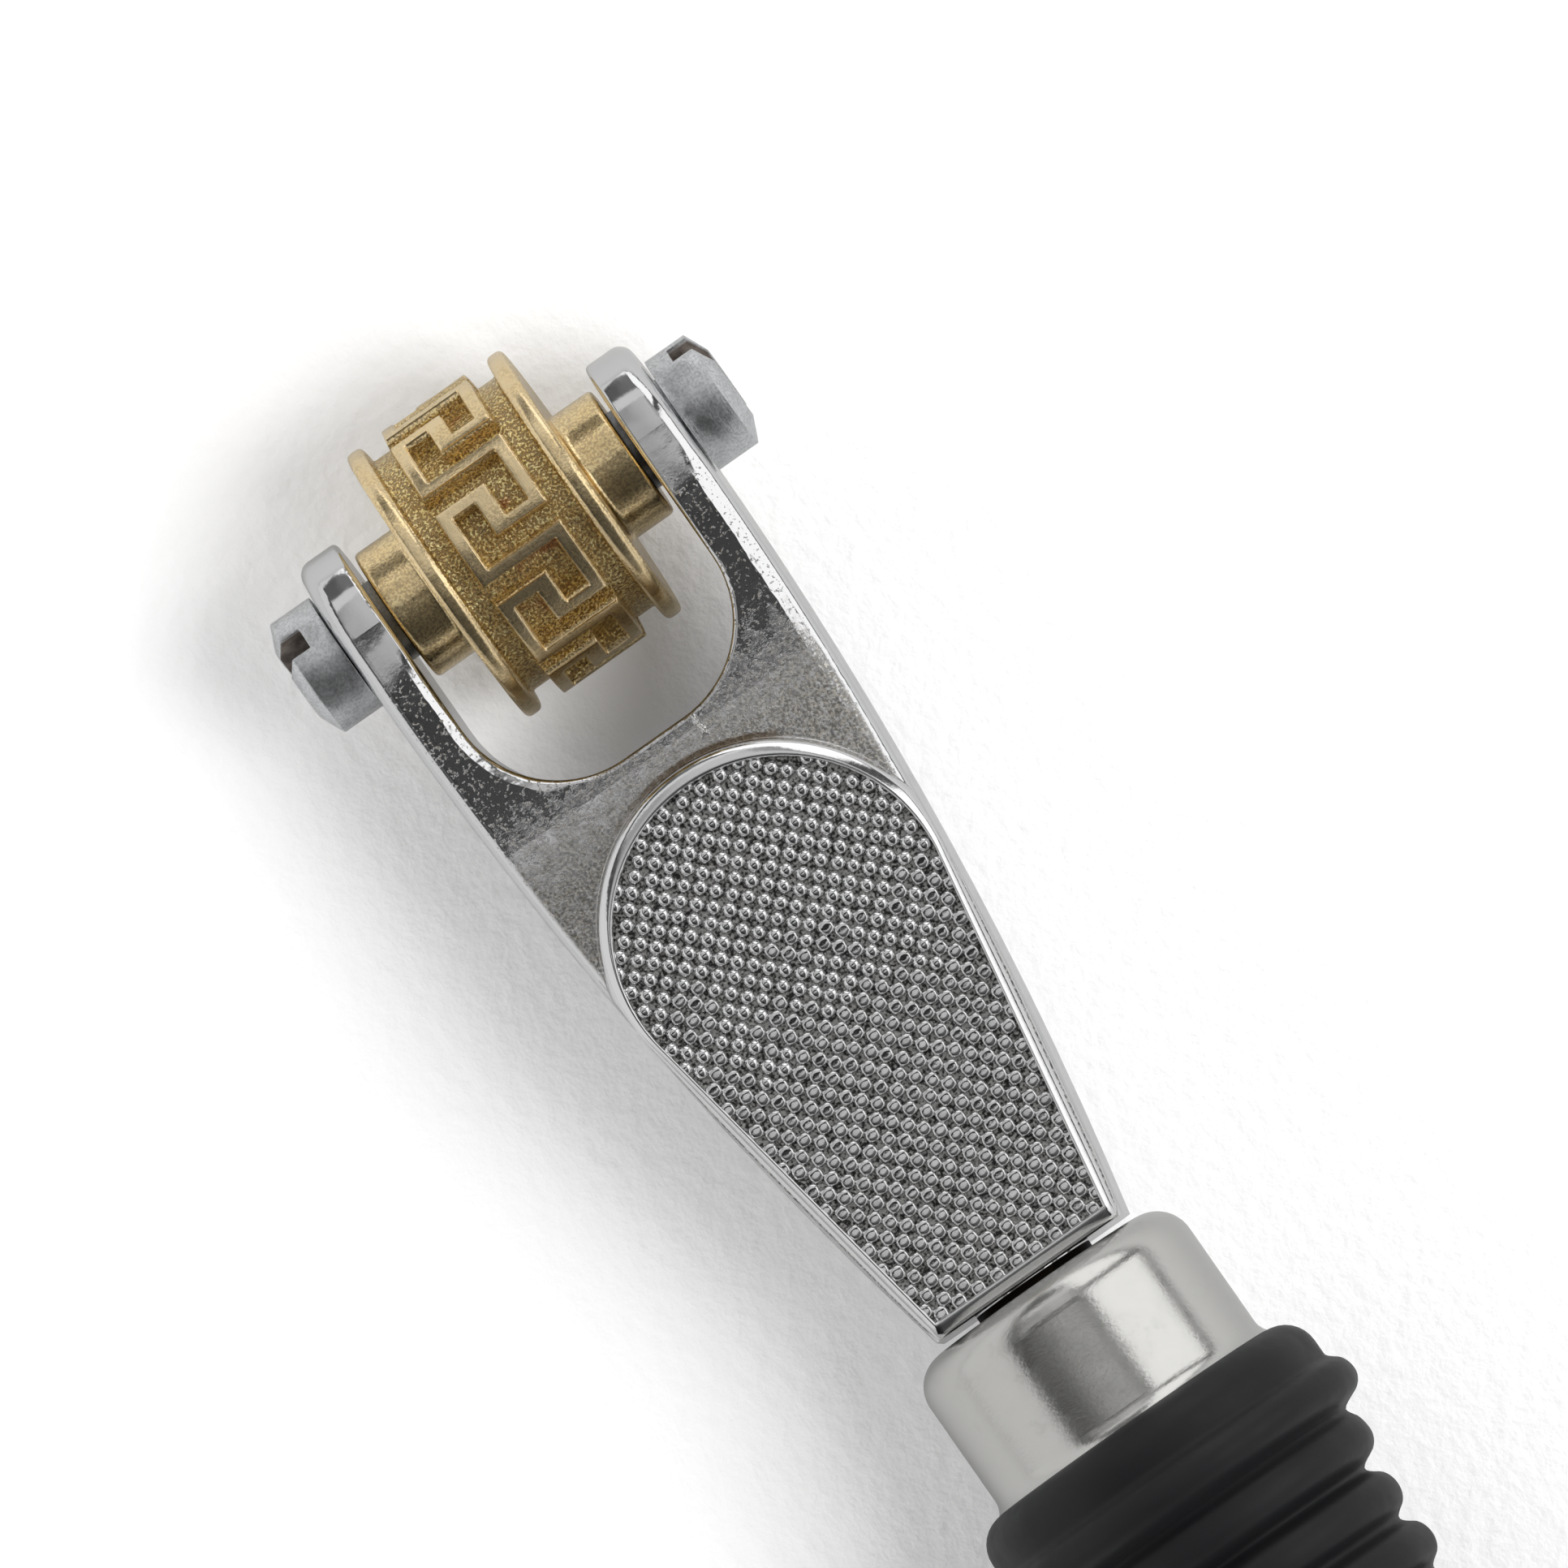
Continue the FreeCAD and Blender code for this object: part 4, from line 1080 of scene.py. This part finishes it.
def pad_rim(crest):
    """The polished rim round the beads: a rounded ridge whose foot runs out on the deck."""
    vertices = []
    stations = pad_outline()
    for wall, out, way_in in stations:
        section, room = rim_section(wall, crest)
        for inward, outward, level in section:
            spot = wall + way_in * inward + out * (room * outward)
            vertices.append((AXLE_X + spot.x, spot.y, AXLE_Z + level))
    return new_piece("thumb_pad_rim", vertices, ring_faces(len(stations), len(section)))


class ROLLER_OT_thumb_pad(bpy.types.Operator):
    """Sets the beads and the polished rim of the thumb pad."""
    bl_idname = "roller.thumb_pad"
    bl_label = "Thumb pad"

    def execute(self, context):
        make_finishes()
        sizes = context.scene.roller_sizes
        size = (sizes.bead_width, sizes.bead_height)
        front = bead_cap("round_bead", *size, ROUND_BEAD, ROUND_BEAD_SQUARENESS)
        rear = bead_cap("flat_bead", *size, FLAT_BEAD, FLAT_BEAD_SQUARENESS)
        piece = new_piece("thumb_pad_beads", [(0, 0, 0)], [])
        add_nodes(piece, bead_field_tree(), Casting=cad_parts["fork_casting"], Front_Bead=front,
                  Rear_Bead=rear, Pitch=sizes.bead_pitch, Material=MATERIALS["chrome_plate"])
        settle(piece)
        bpy.data.objects.remove(front)
        bpy.data.objects.remove(rear)
        rim = pad_rim(sizes.rim_crest)
        face_outward(rim)
        for item in (piece, rim):
            shade(item, 75.0)
            paint(item, "chrome_plate")
            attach(item, "handle")
        return {"FINISHED"}


# Rubber grip, measured along it from its front
GRIP_LENGTH = 103.0 * MM
GRIP_BORE = 11.5 * MM
GRIP_BORE_END = 98.0 * MM
COLLAR_RADIUS = 16.1 * MM
COLLAR_ROUNDING = 2.9 * MM
CREST_FIRST = 6.65 * MM
RIB_PITCH = 4.93 * MM
RIB_HALF = 2.0 * MM
FIRST_RIB_HALF = 1.95 * MM
FIRST_RIB_END = CREST_FIRST + 2.4 * MM
SECOND_CREST = CREST_FIRST + 4.8 * MM
SHOULDER_RADIUS = 14.95 * MM
VALLEY_RADIUS = 13.45 * MM
RIB_RADIUS = 15.0 * MM
FIRST_RIB_RADIUS = 17.5 * MM
SECOND_RIB_RADIUS = 15.7 * MM
BUTT_FOOT = 90.5 * MM
BUTT_SLOPE = 2.0 * MM
BUTT_ROUNDING = 6.0 * MM
COLLAR_STEPS = 8
BUTT_STEPS = 9
PROFILE_STEP = 0.23 * MM
GRIP_SIDES = 128


def wave(share):
    """From 0 to 1 and level at both ends."""
    return 0.5 - 0.5 * math.cos(math.pi * min(max(share, 0.0), 1.0))


def rib_line(along):
    """Radius of the ribbed part before its corners are softened: lobes over the rubber between them."""
    level = VALLEY_RADIUS
    if along < SECOND_CREST:
        level = COLLAR_RADIUS if along < CREST_FIRST else SHOULDER_RADIUS
    if along > BUTT_FOOT:
        return level + (FIRST_RIB_RADIUS - level) * wave((along - BUTT_FOOT) / BUTT_SLOPE)
    if along < FIRST_RIB_END:
        crest, half, top = CREST_FIRST, FIRST_RIB_HALF, FIRST_RIB_RADIUS
    elif along < SECOND_CREST + RIB_PITCH / 2:
        crest, half, top = SECOND_CREST, RIB_HALF, SECOND_RIB_RADIUS
    else:
        crest = SECOND_CREST + RIB_PITCH * round((along - SECOND_CREST) / RIB_PITCH)
        half, top = RIB_HALF, RIB_RADIUS
    if crest + RIB_PITCH / 2 > BUTT_FOOT:
        return level
    run = (along - crest) / half
    return level + (top - level) * math.sqrt(max(1.0 - run * run, 0.0))


def grip_profile():
    """The moulded outline from the collar to the butt as (along, radius): round ribs with narrow grooves."""
    points = [(0.0, GRIP_BORE)]
    for step in range(COLLAR_STEPS + 1):
        turn = math.pi / 2 * step / COLLAR_STEPS
        points.append((COLLAR_ROUNDING * (1 - math.cos(turn)),
                       COLLAR_RADIUS - COLLAR_ROUNDING * (1 - math.sin(turn))))
    start, end = COLLAR_ROUNDING + 0.6 * MM, BUTT_FOOT + BUTT_SLOPE + 0.6 * MM
    steps = round((end - start) / PROFILE_STEP)
    for step in range(steps + 1):
        along = start + (end - start) * step / steps
        # The mean over a short run rounds the corners between the ribs
        near = [rib_line(along + offset * 0.07 * MM) for offset in range(-5, 6)]
        points.append((along, sum(near) / len(near)))
    for step in range(BUTT_STEPS + 1):
        turn = math.pi / 2 * step / BUTT_STEPS
        points.append((GRIP_LENGTH - BUTT_ROUNDING * (1 - math.sin(turn)),
                       FIRST_RIB_RADIUS - BUTT_ROUNDING * (1 - math.cos(turn))))
    points += [(GRIP_LENGTH, 0.0), (GRIP_BORE_END, 0.0), (GRIP_BORE_END, GRIP_BORE)]
    return points


def turned(name, profile, origin, sides):
    """A closed section turned round the handle's line. A point on the line itself becomes one vertex."""
    vertices, rings = [], []
    for along, radius in profile:
        count = sides if radius > 0 else 1
        rings.append(range(len(vertices), len(vertices) + count))
        for step in range(count):
            turn = math.tau * step / sides
            across, up = radius * math.sin(turn), radius * math.cos(turn)
            vertices.append((origin.x + along, origin.y + across, origin.z + up))
    faces = []
    for first, second in zip(rings, rings[1:] + rings[:1]):
        if len(first) == 1 and len(second) == 1:
            continue
        for step in range(sides):
            ahead = (step + 1) % sides
            corners = [first[step % len(first)], first[ahead % len(first)],
                       second[ahead % len(second)], second[step % len(second)]]
            faces.append([corner for index, corner in enumerate(corners) if corner not in corners[:index]])
    return new_piece(name, vertices, faces)


class ROLLER_OT_grip(bpy.types.Operator):
    """Moulds the rubber grip with its collar and ribs."""
    bl_idname = "roller.grip"
    bl_label = "Rubber grip"

    def execute(self, context):
        make_finishes()
        front = Vector((grip_low.x, 0.0, HANDLE_Z))
        piece = turned("rubber_grip_moulding", grip_profile(), front, GRIP_SIDES)
        face_outward(piece)
        shade(piece, 50.0)
        paint(piece, "black_rubber")
        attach(piece, "handle")
        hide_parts("rubber_grip")
        return {"FINISHED"}


class ROLLER_OT_handle(bpy.types.Operator):
    """Gives the fork, ferrule and inner parts their finishes."""
    bl_idname = "roller.handle"
    bl_label = "Fork and handle"

    def execute(self, context):
        make_finishes()
        for node, slot in (
            ("fork_casting", "chrome_plate"), ("ferrule", "satin_nickel"), ("handle_core", "core_plastic"),
            ("tang_rod", "zinc_steel"), ("tang_washer", "zinc_steel"), ("tang_nut", "zinc_steel"),
        ):
            paint(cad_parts[node], slot)
        return {"FINISHED"}


# Stage, in metres
PAPER_HALF = 2.0
LAMP_SIZE = 0.38
LAMP_PLACE = Vector((0.19, 0.39, 0.72))
LAMP_AIM = Vector((-0.05, 0.0, 0.02))
LAMP_STRENGTH = 4.2
CARD_COLOUR = (0.022, 0.022, 0.022, 1.0)
CARD_HEIGHT = 0.6
CARD_START = (AXLE_X - 0.072, -0.25)
CARD_END = (AXLE_X + 0.018, 0.25)


def level_panel(name, low, high, height):
    """A level rectangle between two corners."""
    corners = [(low[0], low[1]), (high[0], low[1]), (high[0], high[1]), (low[0], high[1])]
    return new_piece(name, [(x, y, height) for x, y in corners], [(0, 1, 2, 3)])


def paper_finish(colour):
    """White paper with faint fibres. Metal sees it less bright than the camera does, as in the picture."""
    finish = Finish("paper", Metallic=0.0, Roughness=0.9, Specular_IOR_Level=0.1)
    build = finish.build
    fibres = finish.noise(620.0, 3.0, 0.55, 1.0)
    finish.bump(fibres, 0.6, 0.3 * MM)
    seen = build.add("ShaderNodeLightPath").outputs["Is Camera Ray"]
    finish.set(Base_Color=build.mix(seen, [part * 0.58 for part in colour], colour))
    return finish.material


def place_lamp():
    """A softbox on the screw's side, which reflections don't show."""
    lamp = bpy.data.lights.new("softbox", "AREA")
    lamp.shape = "SQUARE"
    lamp.size = LAMP_SIZE
    lamp.energy = LAMP_STRENGTH
    item = add_object("softbox", lamp)
    item.location = LAMP_PLACE
    item.rotation_euler = (LAMP_AIM - LAMP_PLACE).to_track_quat("-Z", "Y").to_euler()
    item.visible_glossy = False


def place_card():
    """A dark card over the tool that only reflections show."""
    piece = level_panel("dark_card", CARD_START, CARD_END, CARD_HEIGHT)
    material = bpy.data.materials.new("dark_card")
    material.use_nodes = True
    build = Tree(material.node_tree)
    build.tree.nodes.clear()
    glow = build.add("ShaderNodeEmission", {"Color": CARD_COLOUR, "Strength": 1.0})
    build.add("ShaderNodeOutputMaterial", {"Surface": glow.outputs[0]})
    piece.data.materials.append(material)
    piece.visible_camera = False
    piece.visible_shadow = False
    piece.visible_diffuse = False


def studio_world():
    """An even white room, with darker bands over the tool that polished metal reflects."""
    world = bpy.data.worlds.new("studio")
    bpy.context.scene.world = world
    world.use_nodes = True
    build = Tree(world.node_tree)
    build.tree.nodes.clear()
    x, y, z = build.split(build.add("ShaderNodeTexCoord").outputs["Generated"])
    lean_y = build.math("DEGREES", build.math("ARCTAN2", y, z))
    lean_x = build.math("DEGREES", build.math("ARCTAN2", x, z))
    # Over the tool: grey, darker towards the grip and towards a black edge on the barrel's side, then pale
    value = build.ramp(lean_y, -34.0, 8.0, 0.07, 0.60)
    to_grip = build.most(build.ramp(lean_x, 0.0, 11.0, 1.0, 0.2), build.ramp(lean_x, 55.0, 70.0, 0.0, 0.5))
    value = build.times(value, to_grip)
    value = build.most(value, build.ramp(lean_y, -41.0, -43.5, 0.0, 0.74))
    # Towards the screw's side: the softbox in its black frame
    frame_edge = build.ramp(build.size(build.minus(lean_y, 56.0)), 28.5, 40.0, 0.13, 1.0)
    value = build.times(value, build.most(frame_edge, build.ramp(lean_y, 0.0, 16.0, 1.0, 0.0)))
    value = build.most(value, build.ramp(lean_y, 87.0, 92.0, 0.0, 0.95))
    lit = build.ramp(build.size(build.minus(lean_y, 55.5)), 28.0, 25.5)
    lit = build.times(lit, build.most(build.ramp(x, -0.32, -0.24), build.ramp(x, -0.42, -0.50)))
    value = build.most(value, build.times(lit, 1.25))
    # Towards the wheel's side: a grey ceiling, a pale screen and a dark gap under it
    near_plane = build.ramp(build.size(lean_y), 36.0, 24.0)
    ceiling = build.times(build.ramp(lean_x, -5.0, -12.0), build.ramp(lean_x, -20.0, -32.0, 0.48, 0.36))
    pale = build.times(build.ramp(lean_x, -44.0, -47.0), build.ramp(lean_x, -62.0, -58.0))
    gap = build.times(build.ramp(lean_x, -59.0, -62.0), build.ramp(lean_x, -90.0, -84.0))
    value = build.most(value, build.times(near_plane, ceiling))
    value = build.most(value, build.times(pale, near_plane, 0.72))
    value = build.times(value, build.ramp(build.times(gap, near_plane), 0.0, 1.0, 1.0, 0.3))
    value = build.times(value, build.ramp(lean_x, 14.0, 38.0, 1.0, 0.55))
    # What lights the paper: bright at the sides, and darker overhead where the camera is
    overhead = build.ramp(z, 0.42, 0.82, 2.2, 0.06)
    glossy, even, white = [
        build.add("ShaderNodeBackground", {"Color": build.vector(grey, grey, grey)}).outputs[0]
        for grey in (value, overhead, 1.0)
    ]
    rays = build.add("ShaderNodeLightPath").outputs
    light = build.add("ShaderNodeMixShader", {"Fac": rays["Is Glossy Ray"], 1: even, 2: glossy})
    seen = build.add("ShaderNodeMixShader", {"Fac": rays["Is Camera Ray"], 1: light.outputs[0], 2: white})
    build.add("ShaderNodeOutputWorld", {"Surface": seen.outputs[0]})


def place_camera(stage):
    """Sets the camera over the tool as the picture has it: the tool runs down to the right."""
    centre = Vector((AXLE_X + stage.picture_x, stage.picture_y, AXLE_Z))
    back = Vector((math.tan(stage.lean_x), math.tan(stage.lean_y), 1.0)).normalized()
    right = Vector((math.cos(stage.turn), math.sin(stage.turn), 0.0))
    right = (right - back * right.dot(back)).normalized()
    up = back.cross(right)
    camera = bpy.data.cameras.new("camera")
    camera.lens = camera.sensor_width * stage.camera_distance / stage.picture_width
    camera.clip_start = 0.05
    camera.clip_end = 20.0
    item = add_object("camera", camera)
    turn = Matrix((right, up, back)).transposed()
    item.matrix_world = Matrix.Translation(centre + back * stage.camera_distance) @ turn.to_4x4()
    bpy.context.scene.camera = item


class ROLLER_OT_stage(bpy.types.Operator):
    """Sets the paper, the lamp, the dark card, the world and the camera."""
    bl_idname = "roller.stage"
    bl_label = "Stage"

    def execute(self, context):
        stage = context.scene.roller_stage
        paper = level_panel("paper", (-PAPER_HALF, -PAPER_HALF), (PAPER_HALF, PAPER_HALF), 0.0)
        paper.data.materials.append(paper_finish(stage.paper))
        place_lamp()
        place_card()
        studio_world()
        place_camera(stage)
        context.scene.view_settings.view_transform = "Standard"
        return {"FINISHED"}


class ROLLER_PT_panel(bpy.types.Panel):
    """Lists the steps that build the roller."""
    bl_label = "Pattern roller"
    bl_idname = "ROLLER_PT_panel"
    bl_space_type = "VIEW_3D"
    bl_region_type = "UI"
    bl_category = "Roller"

    def draw(self, context):
        for step in STEPS:
            self.layout.operator(step.bl_idname)


STEPS = (
    ROLLER_OT_stage, ROLLER_OT_wheel, ROLLER_OT_axle, ROLLER_OT_thumb_pad, ROLLER_OT_grip, ROLLER_OT_handle,
)
CLASSES = (RollerSizes, RollerColours, RollerStage) + STEPS + (ROLLER_PT_panel,)


def register():
    for item in CLASSES:
        bpy.utils.register_class(item)
    bpy.types.Scene.roller_sizes = bpy.props.PointerProperty(type=RollerSizes)
    bpy.types.Scene.roller_colours = bpy.props.PointerProperty(type=RollerColours)
    bpy.types.Scene.roller_stage = bpy.props.PointerProperty(type=RollerStage)


def unregister():
    del bpy.types.Scene.roller_sizes
    del bpy.types.Scene.roller_colours
    del bpy.types.Scene.roller_stage
    for item in reversed(CLASSES):
        bpy.utils.unregister_class(item)


def main():
    register()
    for step in STEPS:
        group, name = step.bl_idname.split(".")
        getattr(getattr(bpy.ops, group), name)()


if __name__ == "__main__":
    main()
